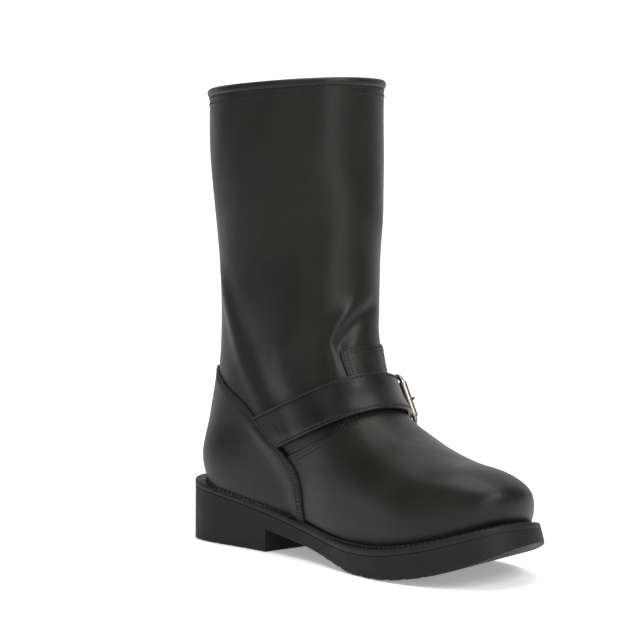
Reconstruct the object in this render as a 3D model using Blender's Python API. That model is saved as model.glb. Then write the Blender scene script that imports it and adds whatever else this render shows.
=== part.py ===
"""An engineer boot for the left foot, built as an assembly of separate solid pieces.

x runs from the heel to the toe, y towards the outer side of the foot and z up.
The boot stands empty on z = 0, and all lengths are in metres.
The upper's surface is one function of height and angle: a foot form and a shaft form, blended
at the ankle. The upper, the counter, the backstay, the strap and the welt all read it.
"""

import math

import bpy
import numpy as np

# Leather thicknesses and clearances
WALL = 0.0026  # upper and its lining together
VAMP_STEP = 0.0014  # how far the vamp and its tongue stand out from the shaft leather
OVERLAY = 0.0016  # counter and backstay leather
GAP = 0.0003  # clearance between pieces
OVERLAY_GAP = 0.0005  # the same along the welt, the insole and the sole's top
SHEET_GAP = 0.0012  # the same under the wide curved sheets
MARGIN_THICK = 0.0020  # turned-in edge of the upper under the insole
MARGIN_WIDTH = 0.0100
INSOLE_THICK = 0.0030

# Sole and welt
WELT_THICK = 0.0040
RIDGE_HEIGHT = 0.0013  # storm ridge of the welt, against the upper
RIDGE_WIDTH = 0.0018
GROOVE_DEPTH = 0.0006  # dip of the welt between its ridge and its outer lip
WELT_EDGE = 0.0006  # rounding of the outer lip
BREAST_X = 0.0875  # front face of the heel block
BREAST_RAKE = 0.0006
LUG_FIRST, LUG_LAST = 0.150, 0.268  # x range of the cross lugs under the forefoot
LUG_PITCH, LUG_SLOT, LUG_DEPTH = 0.0118, 0.0034, 0.0028
LUG_FADE = 0.150  # the slots start here, shallow, in the arch
HEEL_SLOTS = (0.022, 0.036, 0.050, 0.064)
HEEL_SLOT_DEPTH = 0.0018

# Plan of the sole at the top of the welt
SOLE_LENGTH = 0.2910
SOLE_HEEL_X = -0.0055
SOLE_TOE_START, SOLE_TOE_POWER, SOLE_TOE_Y = 0.205, 2.15, -0.0065
SOLE_HEEL_START, SOLE_HEEL_POWER = 0.036, 2.7
#   x | inner half width | outer half width
SOLE = [
    (-0.010, 0.0385, 0.0380),
    (0.030, 0.0385, 0.0385),
    (0.080, 0.0370, 0.0405),
    (0.130, 0.0395, 0.0455),
    (0.190, 0.0530, 0.0550),
    (0.215, 0.0560, 0.0560),
    (0.240, 0.0560, 0.0560),
    (0.300, 0.0530, 0.0540),
]
#   x | height of the top of the welt
FEATHER = [
    (-0.005, 0.0425),
    (0.040, 0.0370),
    (0.080, 0.0313),
    (0.130, 0.0229),
    (0.165, 0.0187),
    (0.200, 0.0180),
    (0.250, 0.0262),
    (0.295, 0.0412),
]
#   x | height of the sole's underside, in front of the heel
UNDERSIDE = [
    (0.083, 0.0160),
    (0.130, 0.0082),
    (0.160, 0.0030),
    (0.178, 0.0000),
    (0.198, 0.0000),
    (0.212, 0.0010),
    (0.230, 0.0042),
    (0.260, 0.0130),
    (0.295, 0.0285),
]
TREAD_LINE = 0.20  # the toe spring starts earlier on the outer side, by this share of y

# Foot form: x | inner half | outer half | y of the ridge line | top height | fullness
FOOT = [
    (0.020, 0.026, 0.026, 0.000, 0.0800, 2.0),
    (0.080, 0.032, 0.0345, -0.002, 0.1155, 2.0),
    (0.120, 0.0345, 0.0405, -0.006, 0.1260, 2.0),
    (0.160, 0.043, 0.047, -0.009, 0.1030, 2.0),
    (0.200, 0.047, 0.049, -0.010, 0.0835, 2.05),
    (0.235, 0.048, 0.048, -0.009, 0.0755, 2.1),
    (0.260, 0.046, 0.048, -0.008, 0.0765, 2.2),
    (0.300, 0.042, 0.044, -0.008, 0.0770, 2.2),
]
WIDEST_ABOVE = 0.020  # the foot is widest this far above the welt
TUCK = 0.05  # share by which it narrows from there down to the welt
TOE_START, TOE_TIP, TOE_TIP_Y, TOE_ROUND = 0.206, 0.2865, -0.006, 2.2
HEEL_START, HEEL_END = 0.090, 0.016

# Shaft form: z | back x | widest x | front x | inner half | outer half | roundness
SHAFT = [
    (0.030, 0.0080, 0.045, 0.1100, 0.0340, 0.0340, 2.1),
    (0.055, 0.0012, 0.043, 0.1100, 0.0385, 0.0360, 2.1),
    (0.085, 0.0042, 0.050, 0.1120, 0.0365, 0.0365, 2.0),
    (0.125, 0.0110, 0.062, 0.1285, 0.0375, 0.0395, 1.9),
    (0.160, 0.0130, 0.066, 0.1370, 0.0385, 0.0475, 1.95),
    (0.210, 0.0110, 0.066, 0.1405, 0.0400, 0.0530, 2.0),
    (0.260, 0.0085, 0.066, 0.1390, 0.0445, 0.0555, 2.1),
    (0.330, 0.0075, 0.066, 0.1385, 0.0485, 0.0570, 2.1),
]
BLEND_BACK, BLEND_FRONT = 0.022, 0.060  # rounding between the two forms, at heel and instep
BLEND_FROM, BLEND_TO = 0.050, 0.120  # x over which the rounding grows
BLEND_LOW, BLEND_HIGH = 0.045, 0.085  # and z over which it does, so that the waist stays slim

# Rings of the surface: t | z at x = 0 | z at x = 0.3 | centre x | reach along x
RINGS = [
    (0.00, 0.0400, 0.0395, 0.145, 0.1415),
    (0.12, 0.0480, 0.0600, 0.145, 0.1415),
    (0.24, 0.0570, 0.0860, 0.135, 0.1330),
    (0.34, 0.0660, 0.1120, 0.115, 0.1100),
    (0.42, 0.0820, 0.1420, 0.090, 0.0850),
    (0.50, 0.1020, 0.1750, 0.075, 0.0650),
    (0.60, 0.1350, 0.1950, 0.070, 0.0600),
    (0.75, 0.2000, 0.2420, 0.072, 0.0640),
    (1.00, 0.3120, 0.3260, 0.072, 0.0660),
]
RING_SPAN = 0.300
RING_SIDE = 0.048
FADE_OUT = 0.34  # above this t the rings no longer follow the welt's curve
FARTHEST = 1.6  # the surface lies within this many reaches of the ring's centre

# Collar
COLLAR_T = 0.982  # top edge of the upper, under the collar's roll
ROLL_WIDTH, ROLL_HEIGHT = 0.0054, 0.0056

# Strap plane: tilted up towards the toe, through the ankle
STRAP_TILT = math.radians(22)
STRAP_LEVEL = 0.0405
STRAP_CENTRE_X = 0.085
STRAP_WIDTH = 0.0265
STRAP_THICK = 0.0032
STRAP_REST = 0.0018  # from the boot to the strap's underside, over the hollow of the instep
VAMP_BELOW_STRAP = 0.0205  # the vamp's edge lies this far below the strap's centre line
VAMP_EDGE_LOWEST = 0.235  # t of the edge where it goes under the counter
TONGUE_TOP_HALF = 0.0180
TONGUE_TOP, TONGUE_TOP_T = 0.1405, 0.505  # z of its top, and the ring that meets it at the side
TONGUE_EDGE = 0.012  # half of the angle over which the tongue's side steps down

# Front edge of the counter: t | angle from the toe, in degrees
COUNTER_FRONT = [
    (0.000, 101.0),
    (0.060, 101.5),
    (0.145, 102.5),
    (0.283, 103.5),
    (0.367, 106.0),
    (0.405, 108.0),
    (0.455, 114.0),
    (0.500, 128.0),
    (0.545, 151.0),
]
COUNTER_TOP = 0.545
BACKSTAY_LOW, BACKSTAY_HIGH = 0.0165, 0.0110  # half widths of the backstay

# Strap and buckle, by angle round the strap's plane from the toe, the buckle on the outer side
STRAP_TIP = math.radians(106)
END_ROOM = math.radians(1.8)  # from the counter's edge to a sewn end
ROLLER_ANGLE, BAR_ANGLE, KEEPER_ANGLE = (math.radians(a) for a in (38, 64, 71.6))
FRAME_WIDE, FRAME_WIRE, FRAME_CORNER = 0.0355, 0.0017, 0.0045
ROLLER_RADIUS, ROLLER_BORE, ROLLER_LONG = 0.0028, 0.0020, 0.0250
ROLLER_EXTRA = 0.0014  # room for the strap's curve under the roller
BAR_LIFT = 0.0056
CHAPE_THICK, CHAPE_REST = 0.0014, 0.0024
LOOP_REACH = 0.003  # this near the bar the chape is square to it, and beyond it follows the boot
KEEPER_THICK, KEEPER_LONG = 0.0013, 0.0065
PRONG_RADIUS = 0.0011
HOLE_RADIUS, HOLE_STRETCH = 0.0019, 2.7  # the hole that the prong goes through
HOLE_BACK = 0.0100  # from the bar, towards the toe

# Facets
COLUMNS = 48
LOW_ROWS, HIGH_ROWS = 16, 14


def curve(table, at, column):
    """Smooth reading of one column of a table against its first column."""
    rows = np.array(table, float)
    xs, ys = rows[:, 0], rows[:, column]
    slope = np.gradient(ys, xs)
    at = np.clip(at, xs[0], xs[-1])
    i = np.clip(np.searchsorted(xs, at, side="right") - 1, 0, len(xs) - 2)
    h = xs[i + 1] - xs[i]
    s = (at - xs[i]) / h
    ends = (1 + 2 * s) * (1 - s) ** 2 * ys[i] + s * s * (3 - 2 * s) * ys[i + 1]
    return ends + h * s * (1 - s) * ((1 - s) * slope[i] - s * slope[i + 1])


def smooth(low, high, x):
    s = np.clip((x - low) / (high - low), 0, 1)
    return s * s * (3 - 2 * s)


def foot_field(x, y, z):
    """Below 0 inside the foot form, and about 1 at twice its half width."""
    inner, outer, ridge, top, full = (curve(FOOT, x, c) for c in range(1, 6))
    widest = curve(FEATHER, x, 1) + WIDEST_ABOVE
    toe = np.clip((x - TOE_START) / (TOE_TIP - TOE_START), 0, None)
    heel = np.clip((HEEL_START - x) / (HEEL_START - HEEL_END), 0, None)
    up = (z - widest) / (top - widest)
    middle = TOE_TIP_Y * np.clip(toe, 0, 1) ** 2 + ridge * np.clip(up, 0, 1.3)
    side = np.abs(y - middle) / np.where(y < middle, inner, outer)
    plan = ((toe + heel) ** TOE_ROUND + side**TOE_ROUND) ** (1 / TOE_ROUND)
    depth = WIDEST_ABOVE / (1 - (1 - TUCK) ** full) ** (1 / full)
    height = np.where(up > 0, up, (widest - z) / depth)
    return (plan**full + np.abs(height) ** full) ** (1 / full) - 1


def shaft_field(x, y, z):
    back, middle, front, inner, outer, power = (curve(SHAFT, z, c) for c in range(1, 7))
    along = np.abs(x - middle) / np.where(x < middle, middle - back, front - middle)
    across = np.abs(y) / np.where(y < 0, inner, outer)
    return (along**power + across**power) ** (1 / power) - 1


def field(x, y, z):
    """Roughly the distance outside the boot's surface, below 0 inside it."""
    foot = foot_field(x, y, z) * 0.045
    shaft = shaft_field(x, y, z) * 0.048
    growth = smooth(BLEND_FROM, BLEND_TO, x) * smooth(BLEND_LOW, BLEND_HIGH, z)
    k = BLEND_BACK + (BLEND_FRONT - BLEND_BACK) * growth
    h = np.clip(k - np.abs(foot - shaft), 0, None) / k
    return np.minimum(foot, shaft) - h * h * k / 4


def ring_height(t, x):
    low, high = curve(RINGS, t, 1), curve(RINGS, t, 2)
    flat = RINGS[0][1] + (RINGS[0][2] - RINGS[0][1]) * x / RING_SPAN
    follow = np.clip(1 - t / FADE_OUT, 0, 1) ** 1.5
    return low + (high - low) * x / RING_SPAN + (curve(FEATHER, x, 1) - flat) * follow


def outermost(path, test):
    """The point where each path leaves the form, found by halving."""
    near, far = path[1] * 0, path[1] * 0 + FARTHEST
    for _ in range(28):
        middle = (near + far) / 2
        inside = test(*path[0](middle)) < 0
        near, far = np.where(inside, middle, near), np.where(inside, far, middle)
    return np.stack(np.broadcast_arrays(*path[0]((near + far) / 2)), -1)


def surface(t, angle, lift=0.0):
    """Point of the boot's outside at ring t and angle from the toe, raised by lift."""
    t, angle, lift = np.broadcast_arrays(*(np.asarray(v, float) for v in (t, angle, lift)))
    centre, reach = curve(RINGS, t, 3), curve(RINGS, t, 4)

    def at(m):
        x = centre + m * reach * np.cos(angle)
        return x, m * RING_SIDE * np.sin(angle), ring_height(t, x) + lift

    return outermost((at, t), field)


def normals(points):
    """Unit outward directions at points on the surface."""
    x, y, z = np.moveaxis(points, -1, 0)
    e = 0.0004
    grad = np.stack(
        [
            field(x + e, y, z) - field(x - e, y, z),
            field(x, y + e, z) - field(x, y - e, z),
            field(x, y, z + e) - field(x, y, z - e),
        ],
        -1,
    )
    return grad / np.linalg.norm(grad, axis=-1, keepdims=True)


def strap_axes():
    along = np.array([math.cos(STRAP_TILT), 0, math.sin(STRAP_TILT)])
    up = np.array([-math.sin(STRAP_TILT), 0, math.cos(STRAP_TILT)])
    centre = np.array([STRAP_CENTRE_X, 0, (STRAP_LEVEL - STRAP_CENTRE_X * up[0]) / up[2]])
    return centre, along, up


def strap_surface(angle, across):
    """Point of the boot's outside in the strap's plane, moved across the strap."""
    centre, along, up = strap_axes()
    angle, across = np.broadcast_arrays(np.asarray(angle, float), np.asarray(across, float))
    origin = centre + across[..., None] * up
    way = np.cos(angle)[..., None] * along * 0.07 + np.sin(angle)[..., None] * np.array([0, 0.048, 0])

    def at(m):
        return tuple(np.moveaxis(origin + m[..., None] * way, -1, 0))

    return outermost((at, angle), field)


def plan_field(x, y):
    inner, outer = curve(SOLE, x, 1), curve(SOLE, x, 2)
    toe = np.clip((x - SOLE_TOE_START) / (SOLE_LENGTH - SOLE_TOE_START), 0, None)
    heel = np.clip((SOLE_HEEL_START - x) / (SOLE_HEEL_START - SOLE_HEEL_X), 0, None)
    power = np.where(toe > 0, SOLE_TOE_POWER, SOLE_HEEL_POWER)
    middle = SOLE_TOE_Y * np.clip(toe, 0, 1) ** 2
    side = np.abs(y - middle) / np.where(y < middle, inner, outer)
    return ((toe + heel) ** power + side**power) ** (1 / power) - 1


def sole_edge(angle):
    """Outline of the sole, seen from above, at an angle from the toe."""
    angle = np.asarray(angle, float)
    centre, reach = RINGS[0][3], RINGS[0][4]

    def at(m):
        return centre + m * reach * np.cos(angle), m * RING_SIDE * np.sin(angle)

    return outermost((at, angle), plan_field)


def sole_half_widths(x):
    """The y of the inner and the outer edge of the sole at x."""
    toe = np.clip((x - SOLE_TOE_START) / (SOLE_LENGTH - SOLE_TOE_START), 0, 1)
    heel = np.clip((SOLE_HEEL_START - x) / (SOLE_HEEL_START - SOLE_HEEL_X), 0, 1)
    power = np.where(toe > 0, SOLE_TOE_POWER, SOLE_HEEL_POWER)
    share = (1 - (toe + heel) ** power) ** (1 / power)
    middle = SOLE_TOE_Y * toe**2
    return middle - curve(SOLE, x, 1) * share, middle + curve(SOLE, x, 2) * share


def lean(x, below):
    """How far a point that lies below the welt's top leans forward, square to the toe spring."""
    slope = (curve(FEATHER, x + 0.004, 1) - curve(FEATHER, x - 0.004, 1)) / 0.008
    return np.clip(slope, 0, None) * smooth(0.20, 0.25, x) * below


def vamp_top(angle):
    """The t of the vamp's upper edge at each column, and of the tongue's top at the front."""
    centre, along, up = strap_axes()
    edge = np.full(len(angle), 0.0)
    low, high = edge + 0.02, edge + 0.6
    for _ in range(22):
        middle = (low + high) / 2
        below = surface(middle, angle) @ up < STRAP_LEVEL - VAMP_BELOW_STRAP
        low, high = np.where(below, middle, low), np.where(below, high, middle)
    edge = np.maximum((low + high) / 2, VAMP_EDGE_LOWEST)
    low, high = edge * 0 + 0.3, edge * 0 + 0.7
    for _ in range(22):
        middle = (low + high) / 2
        below = surface(middle, angle)[:, 2] < TONGUE_TOP
        low, high = np.where(below, middle, low), np.where(below, high, middle)
    on_tongue = np.clip((tongue_side() + TONGUE_EDGE - np.abs(angle)) / (2 * TONGUE_EDGE), 0, 1)
    return edge + ((low + high) / 2 - edge) * on_tongue


def tongue_side():
    """Angle from the toe of the tongue's two side edges."""
    low, high = 0.0, 1.2
    for _ in range(30):
        middle = (low + high) / 2
        inside = abs(float(surface(TONGUE_TOP_T, -middle)[1])) < TONGUE_TOP_HALF
        low, high = (middle, high) if inside else (low, middle)
    return low


def column_angles():
    """Angles of the upper's columns, with a few close together at each side of the tongue."""
    even = np.linspace(-math.pi, math.pi, COLUMNS, endpoint=False)
    steps = tongue_side() + TONGUE_EDGE * np.array([-1, -0.5, 0, 0.5, 1])
    sides = [*steps, *-steps]
    even = [a for a in even if min(abs(a - s) for s in sides) > 0.05]
    return np.array(sorted(even + sides))


def add_mesh(name, points, faces, material):
    mesh = bpy.data.meshes.new(name)
    mesh.from_pydata([tuple(map(float, p)) for p in points], [], faces)
    mesh.polygons.foreach_set("use_smooth", [True] * len(mesh.polygons))
    mesh.set_sharp_from_angle(angle=math.radians(38))
    mesh.materials.append(material)
    piece = bpy.data.objects.new(name, mesh)
    bpy.context.scene.collection.objects.link(piece)
    return piece


def loft(name, rings, material, closed_ring=True, closed_way=False):
    """A solid through rings of equal point count, its open ends filled."""
    rings = np.asarray(rings, float)
    count, size = rings.shape[:2]
    faces = []
    for i in range(count if closed_way else count - 1):
        j = (i + 1) % count
        for a in range(size if closed_ring else size - 1):
            b = (a + 1) % size
            faces.append((i * size + a, i * size + b, j * size + b, j * size + a))
    if not closed_way:
        faces.append(tuple(range(size - 1, -1, -1)))
        faces.append(tuple((count - 1) * size + a for a in range(size)))
    return add_mesh(name, rings.reshape(-1, 3), faces, material)


def patch(name, base, top, material):
    """A solid sheet between two grids of points with the same rows and columns."""
    rows, columns = base.shape[:2]
    n = rows * columns

    def at(layer, r, c):
        return layer * n + r * columns + c

    faces = []
    for r in range(rows - 1):
        for c in range(columns - 1):
            quad = [(r, c), (r, c + 1), (r + 1, c + 1), (r + 1, c)]
            faces.append(tuple(at(1, *q) for q in quad))
            faces.append(tuple(at(0, *q) for q in reversed(quad)))
    rim = [(0, c) for c in range(columns)] + [(r, columns - 1) for r in range(1, rows)]
    rim += [(rows - 1, c) for c in range(columns - 2, -1, -1)] + [(r, 0) for r in range(rows - 2, 0, -1)]
    for a, b in zip(rim, rim[1:] + rim[:1]):
        faces.append((at(0, *a), at(0, *b), at(1, *b), at(1, *a)))
    points = np.concatenate([base.reshape(-1, 3), top.reshape(-1, 3)])
    return add_mesh(name, points, faces, material)


def material(name, colour, roughness, metallic=0.0):
    made = bpy.data.materials.new(name)
    made.use_nodes = True
    shader = made.node_tree.nodes["Principled BSDF"]
    shader.inputs["Base Color"].default_value = (*colour, 1)
    shader.inputs["Roughness"].default_value = roughness
    shader.inputs["Metallic"].default_value = metallic
    return made


def level(directions):
    """Directions turned flat and made unit length again."""
    flat = directions * np.array([1, 1, 0])
    return flat / np.linalg.norm(flat, axis=-1, keepdims=True)


def on_welt(points, below):
    """Points moved to a depth below the top of the welt."""
    x, y = points[:, 0], points[:, 1]
    return np.stack([x, y, curve(FEATHER, x, 1) - below], -1)


def upper_rows(edge):
    """The t of the upper's rows at each column, close together on both sides of the vamp's edge."""
    low = np.linspace(0, 1, LOW_ROWS)[:, None] * (edge - 0.004)
    high = np.linspace(0, 1, HIGH_ROWS)[:, None] ** 1.45 * (COLLAR_T - edge - 0.004) + edge + 0.004
    return np.concatenate([low, high])


def vamp_share(t, angle):
    """1 on the vamp, falling to 0 under the counter."""
    front = np.radians(curve(COUNTER_FRONT, t, 1))
    return 1 - smooth(front + 0.02, front + 0.10, np.abs(angle))


def make_upper(leather):
    """The hollow upper: foot and shaft in one wall, with the vamp's edge as a step in it."""
    angles = column_angles()
    t = upper_rows(vamp_top(angles))
    points = surface(t, angles[None, :])
    out = normals(points)
    share = vamp_share(t, angles[None, :]) * (np.arange(len(t)) < LOW_ROWS)[:, None]
    outside = points + out * (VAMP_STEP * share)[..., None]
    inside = (points - out * WALL)[::2]
    flat = level(out[0])
    foot = points[0] + flat * (VAMP_STEP * share[0])[:, None]
    turned = points[0] - flat * (WALL + MARGIN_WIDTH)
    drop = WELT_THICK
    rings = [
        on_welt(turned, drop),
        on_welt(foot, drop),
        *outside,
        *inside[::-1],
        on_welt(points[0] - flat * WALL, drop - MARGIN_THICK),
        on_welt(turned, drop - MARGIN_THICK),
    ]
    loft("upper", rings, leather, closed_way=True)
    return angles


def make_counter(leather):
    """The heel counter, its front edges running from the backstay down to the welt."""
    t = COUNTER_TOP * (1 - np.linspace(1, 0, 17)[:, None] ** 1.7)
    share = np.array([-1, -0.96, -0.88, -0.78, *np.linspace(-0.66, 0.66, 13), 0.78, 0.88, 0.96, 1])[None, :]
    front = np.radians(curve(COUNTER_FRONT, t, 1))
    angle = math.pi + share * (math.pi - front)
    lift = np.clip(1 - t / 0.08, 0, 1) * (RIDGE_HEIGHT + OVERLAY_GAP + 0.0006)
    points = surface(t, angle, lift)
    out = normals(points)
    inwards = (1 - np.abs(share)) * (math.pi - front)
    base = (SHEET_GAP + VAMP_STEP * (1 - smooth(0.07, 0.20, inwards)))[..., None]
    return patch("heel_counter", points + out * base, points + out * (base + OVERLAY), leather)


def make_backstay(leather):
    """The strip over the back seam, from the counter up to the collar."""
    rows = upper_rows(vamp_top(np.array([math.pi])))[:, 0]
    rows = [t for t in rows if COUNTER_TOP + 0.02 < t < COLLAR_T - 0.02]
    t = np.array([COUNTER_TOP + 0.0025, *rows, COLLAR_T - 0.0008])[:, None]
    half = BACKSTAY_LOW + (BACKSTAY_HIGH - BACKSTAY_LOW) * smooth(COUNTER_TOP, 0.75, t)
    share = np.linspace(-1, 1, 6)[None, :]
    points = surface(t, math.pi + share * np.arcsin(half / RING_SIDE))
    out = normals(points)
    return patch("backstay", points + out * SHEET_GAP, points + out * (SHEET_GAP + OVERLAY), leather)


def make_collar(leather):
    """The rolled binding that sits on the upper's top edge."""
    angles = np.linspace(-math.pi, math.pi, COLUMNS, endpoint=False)
    rim = surface(COLLAR_T, angles)
    out = level(normals(rim))
    middle = rim - out * WALL / 2 + np.array([0, 0, GAP])
    profile = [(0.55, 0), (1, 0.36), (0.92, 0.72), (0.42, 1)]
    profile += [(-x, z) for x, z in reversed(profile)]
    rings = [
        middle + out * (side * ROLL_WIDTH / 2) + np.array([0, 0, 1]) * (height * ROLL_HEIGHT)
        for side, height in profile
    ]
    return loft("collar_binding", rings, leather, closed_way=True)


def make_welt(rubber, angles):
    """The welt strip round the upper, with its storm ridge, on the sole's top."""
    edge = sole_edge(angles)
    foot = surface(0, angles)
    raised = surface(0, angles, RIDGE_HEIGHT)
    flat = level(normals(foot))
    room = (VAMP_STEP * vamp_share(0, angles) + OVERLAY_GAP)[:, None]

    def rim(inset, below):
        x = edge[:, 0] - flat[:, 0] * inset
        y = edge[:, 1] - flat[:, 1] * inset
        return np.stack([x + lean(x, below), y, curve(FEATHER, x, 1) - below], -1)

    rings = [
        on_welt(foot + flat * room, WELT_THICK),
        rim(0, WELT_THICK),
        rim(0, WELT_EDGE),
        rim(WELT_EDGE, 0),
        on_welt(foot + flat * (room + RIDGE_WIDTH + GROOVE_DEPTH), GROOVE_DEPTH),
        on_welt(raised + flat * (room + RIDGE_WIDTH * 0.8), -RIDGE_HEIGHT * 0.7),
        on_welt(raised + flat * (room + RIDGE_WIDTH * 0.4), -RIDGE_HEIGHT),
        on_welt(raised + flat * room, -RIDGE_HEIGHT * 0.8),
    ]
    return loft("welt", rings, rubber, closed_way=True)


def slot_stations():
    """Pairs of x and depth for the walls of the tread's cross slots."""
    marks = []
    for x in HEEL_SLOTS:
        marks.append((x, HEEL_SLOT_DEPTH))
    x = LUG_FIRST
    while x < LUG_LAST:
        marks.append((x, LUG_DEPTH * float(smooth(LUG_FADE - 0.01, LUG_FADE + 0.02, x))))
        x += LUG_PITCH
    return marks


def underside(x, y):
    """Height of the tread at points of one cross line."""
    if x < BREAST_X:
        return y * 0
    oblique = x + y * TREAD_LINE * smooth(BREAST_X, LUG_FIRST, x)
    return np.maximum(curve(UNDERSIDE, oblique, 1), 0)


def make_outsole(rubber):
    """The sole with its heel block, arch, toe spring and cross lugs, in one moulding."""
    wall = 0.0003
    stations = [SOLE_HEEL_X + d for d in (0.0004, 0.0012, 0.0028, 0.0055, 0.0095, 0.0145)]
    stations += [0.090, 0.104, 0.118, 0.132, 0.143]
    stations += [SOLE_LENGTH - d for d in (0.0004, 0.0012, 0.0028, 0.0055, 0.0095, 0.0150, 0.0200)]
    rows = [(x, 0.0) for x in stations]
    for x, depth in slot_stations():
        rows += [(x - wall, 0.0), (x, depth), (x + LUG_SLOT, depth), (x + LUG_SLOT + wall, 0.0)]
    rows += [(BREAST_X - BREAST_RAKE, 0.0), (BREAST_X, 0.0)]
    rows.sort()
    shares = np.array([0, 0.06, 0.5, 0.94, 1])
    rings = []
    for x, depth in rows:
        inner, outer = (float(v) for v in sole_half_widths(np.array(x)))
        y = inner + (outer - inner) * shares
        top = float(curve(FEATHER, x, 1)) - WELT_THICK - OVERLAY_GAP
        under = underside(x, y) + depth * np.array([0, 1, 1, 1, 0])
        forward = lean(x, curve(FEATHER, x, 1) - under)
        lower = np.stack([x + forward, y, under], -1)
        top_forward = lean(x, WELT_THICK + OVERLAY_GAP)
        upper = np.array([(x + top_forward, v, top) for v in y[::-1]])
        rings.append(np.concatenate([lower, upper]))
    return loft("outsole", rings, rubber)


def make_insole(board):
    """The insole board, inside the upper on its turned-in edge."""
    half = COLUMNS // 2
    angles = np.linspace(0, math.pi, half + 1)
    angle = np.concatenate([angles, -angles[-2:0:-1]])
    rim = surface(0, angle)
    rim = rim - level(normals(rim)) * (WALL + OVERLAY_GAP)
    base = curve(FEATHER, rim[:, 0], 1) - WELT_THICK + MARGIN_THICK + GAP
    low = np.stack([rim[:, 0], rim[:, 1], base], -1)
    high = low + np.array([0, 0, INSOLE_THICK])
    n = len(angle)
    faces = [(i, (i + 1) % n, (i + 1) % n + n, i + n) for i in range(n)]
    for layer, turn in ((0, False), (n, True)):
        for i in range(half):
            ring = [i, i + 1, (n - i - 1) % n, (n - i) % n]
            ring = [layer + k for k in dict.fromkeys(ring)]
            faces.append(tuple(ring if turn else ring[::-1]))
    return add_mesh("insole", np.concatenate([low, high]), faces, board)


def strap_lift(angle):
    """Height of the strap's underside: over the tongue, up over the buckle's bar, down over the chape."""
    rest = STRAP_REST + VAMP_STEP * smooth(math.radians(-62), math.radians(-48), angle)
    over_bar = 0.0084 * smooth(ROLLER_ANGLE + 0.06, BAR_ANGLE, angle)
    back_down = 0.0041 * smooth(BAR_ANGLE + 0.06, KEEPER_ANGLE, angle)
    return rest + over_bar - back_down - 0.0012 * smooth(KEEPER_ANGLE + 0.3, STRAP_TIP, angle)


def ring_place(point):
    """The t and the angle from the toe of a point on the surface."""
    low, high = 0.0, 1.0
    for _ in range(24):
        t = (low + high) / 2
        low, high = (t, high) if ring_height(t, point[0]) < point[2] else (low, t)
    angle = math.atan2(point[1] / RING_SIDE, (point[0] - curve(RINGS, t, 3)) / curve(RINGS, t, 4))
    return t, angle


def counter_edge(side, across):
    """The strap angle at which the counter's front edge crosses a line along the strap."""
    low, high = 0.8, 2.2
    for _ in range(18):
        middle = (low + high) / 2
        t, angle = ring_place(strap_surface(side * middle, across))
        behind = abs(angle) > math.radians(float(curve(COUNTER_FRONT, t, 1)))
        low, high = (low, middle) if behind else (middle, high)
    return low


def sewn_end(side):
    """Angle and slant of an end that is sewn down along the counter's edge."""
    upper, lower = counter_edge(side, STRAP_WIDTH / 2), counter_edge(side, -STRAP_WIDTH / 2)
    return (upper + lower) / 2 - END_ROOM, (upper - lower) / 2


def strap_point(angle, across, lift, slant=0.0):
    """Points across the strap at one angle, at a height above the boot. The strap stays nearly flat."""
    across = np.asarray(across, float)
    points = strap_surface(angle - slant * across / (STRAP_WIDTH / 2), across)
    middle = strap_surface(angle, 0.0)
    out = normals(middle)
    dip = np.minimum((points - middle) @ out, 0)
    return points - out * (dip * 0.5)[..., None] + out * lift


def make_strap(leather):
    """The instep strap, from the inner counter edge over the instep to its tip."""
    start, end_slant = sewn_end(-1)
    front = np.linspace(-start, ROLLER_ANGLE, 22)
    angle = np.concatenate([front, np.linspace(ROLLER_ANGLE + 0.05, STRAP_TIP, 20)])
    point = np.clip((angle - STRAP_TIP + 0.19) / 0.20, 0, 1)
    half = STRAP_WIDTH / 2 * np.sqrt(1 - point**2.2)
    slant = end_slant * (1 - smooth(-start, 0.6 - start, angle))
    rings = []
    for a, h, s in zip(angle, half, slant):
        across = np.linspace(-1, 1, 4) * h
        low = strap_point(a, across, float(strap_lift(a)), s)
        high = strap_point(a, across, float(strap_lift(a)) + STRAP_THICK, s)
        rings.append(np.concatenate([low, high[::-1]]))
    strap = loft("instep_strap", rings, leather)
    hole = BAR_ANGLE - HOLE_BACK / arc_length(BAR_ANGLE)
    cutter = make_hole_cutter(hole)
    cut = strap.modifiers.new("prong_hole", "BOOLEAN")
    cut.operation, cut.object = "DIFFERENCE", cutter
    return strap


def arc_length(angle):
    """Metres along the strap for each radian, at an angle."""
    e = 0.01
    return float(np.linalg.norm(strap_surface(angle + e, 0.0) - strap_surface(angle - e, 0.0)) / (2 * e))


def buckle_axes(angle):
    """Point on the boot and unit vectors along the strap, across it and outwards."""
    e = 0.02
    along = strap_surface(angle + e, 0.0) - strap_surface(angle - e, 0.0)
    along /= np.linalg.norm(along)
    across = strap_axes()[2]
    across = across - along * (across @ along)
    across /= np.linalg.norm(across)
    return strap_surface(angle, 0.0), along, across, np.cross(across, -along)


def make_hole_cutter(angle):
    origin, along, across, out = buckle_axes(angle)
    sides = 16
    rings = []
    for height in (0.0, 0.016):
        turn = np.linspace(0, 2 * math.pi, sides, endpoint=False)[:, None]
        oval = np.cos(turn) * along * HOLE_STRETCH + np.sin(turn) * across
        rings.append(origin + out * height + oval * HOLE_RADIUS)
    cutter = loft("prong_hole_cutter", rings, bpy.data.materials["black_leather"])
    if np.cross(along, across) @ out < 0:
        cutter.data.flip_normals()
    cutter.hide_render = True
    cutter.display_type = "WIRE"
    return cutter


def circle(radius, sides):
    turn = np.linspace(0, 2 * math.pi, sides, endpoint=False)
    return np.stack([np.cos(turn), np.sin(turn)], -1) * radius


def roller_axis():
    """Middle of the front bar, over the strap, and the matching point of the rear bar."""
    lift = float(strap_lift(ROLLER_ANGLE)) + STRAP_THICK + GAP + ROLLER_RADIUS + ROLLER_EXTRA
    front, _, _, out = buckle_axes(ROLLER_ANGLE)
    rear, _, _, rear_out = buckle_axes(BAR_ANGLE)
    return front + out * lift, rear + rear_out * BAR_LIFT


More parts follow.
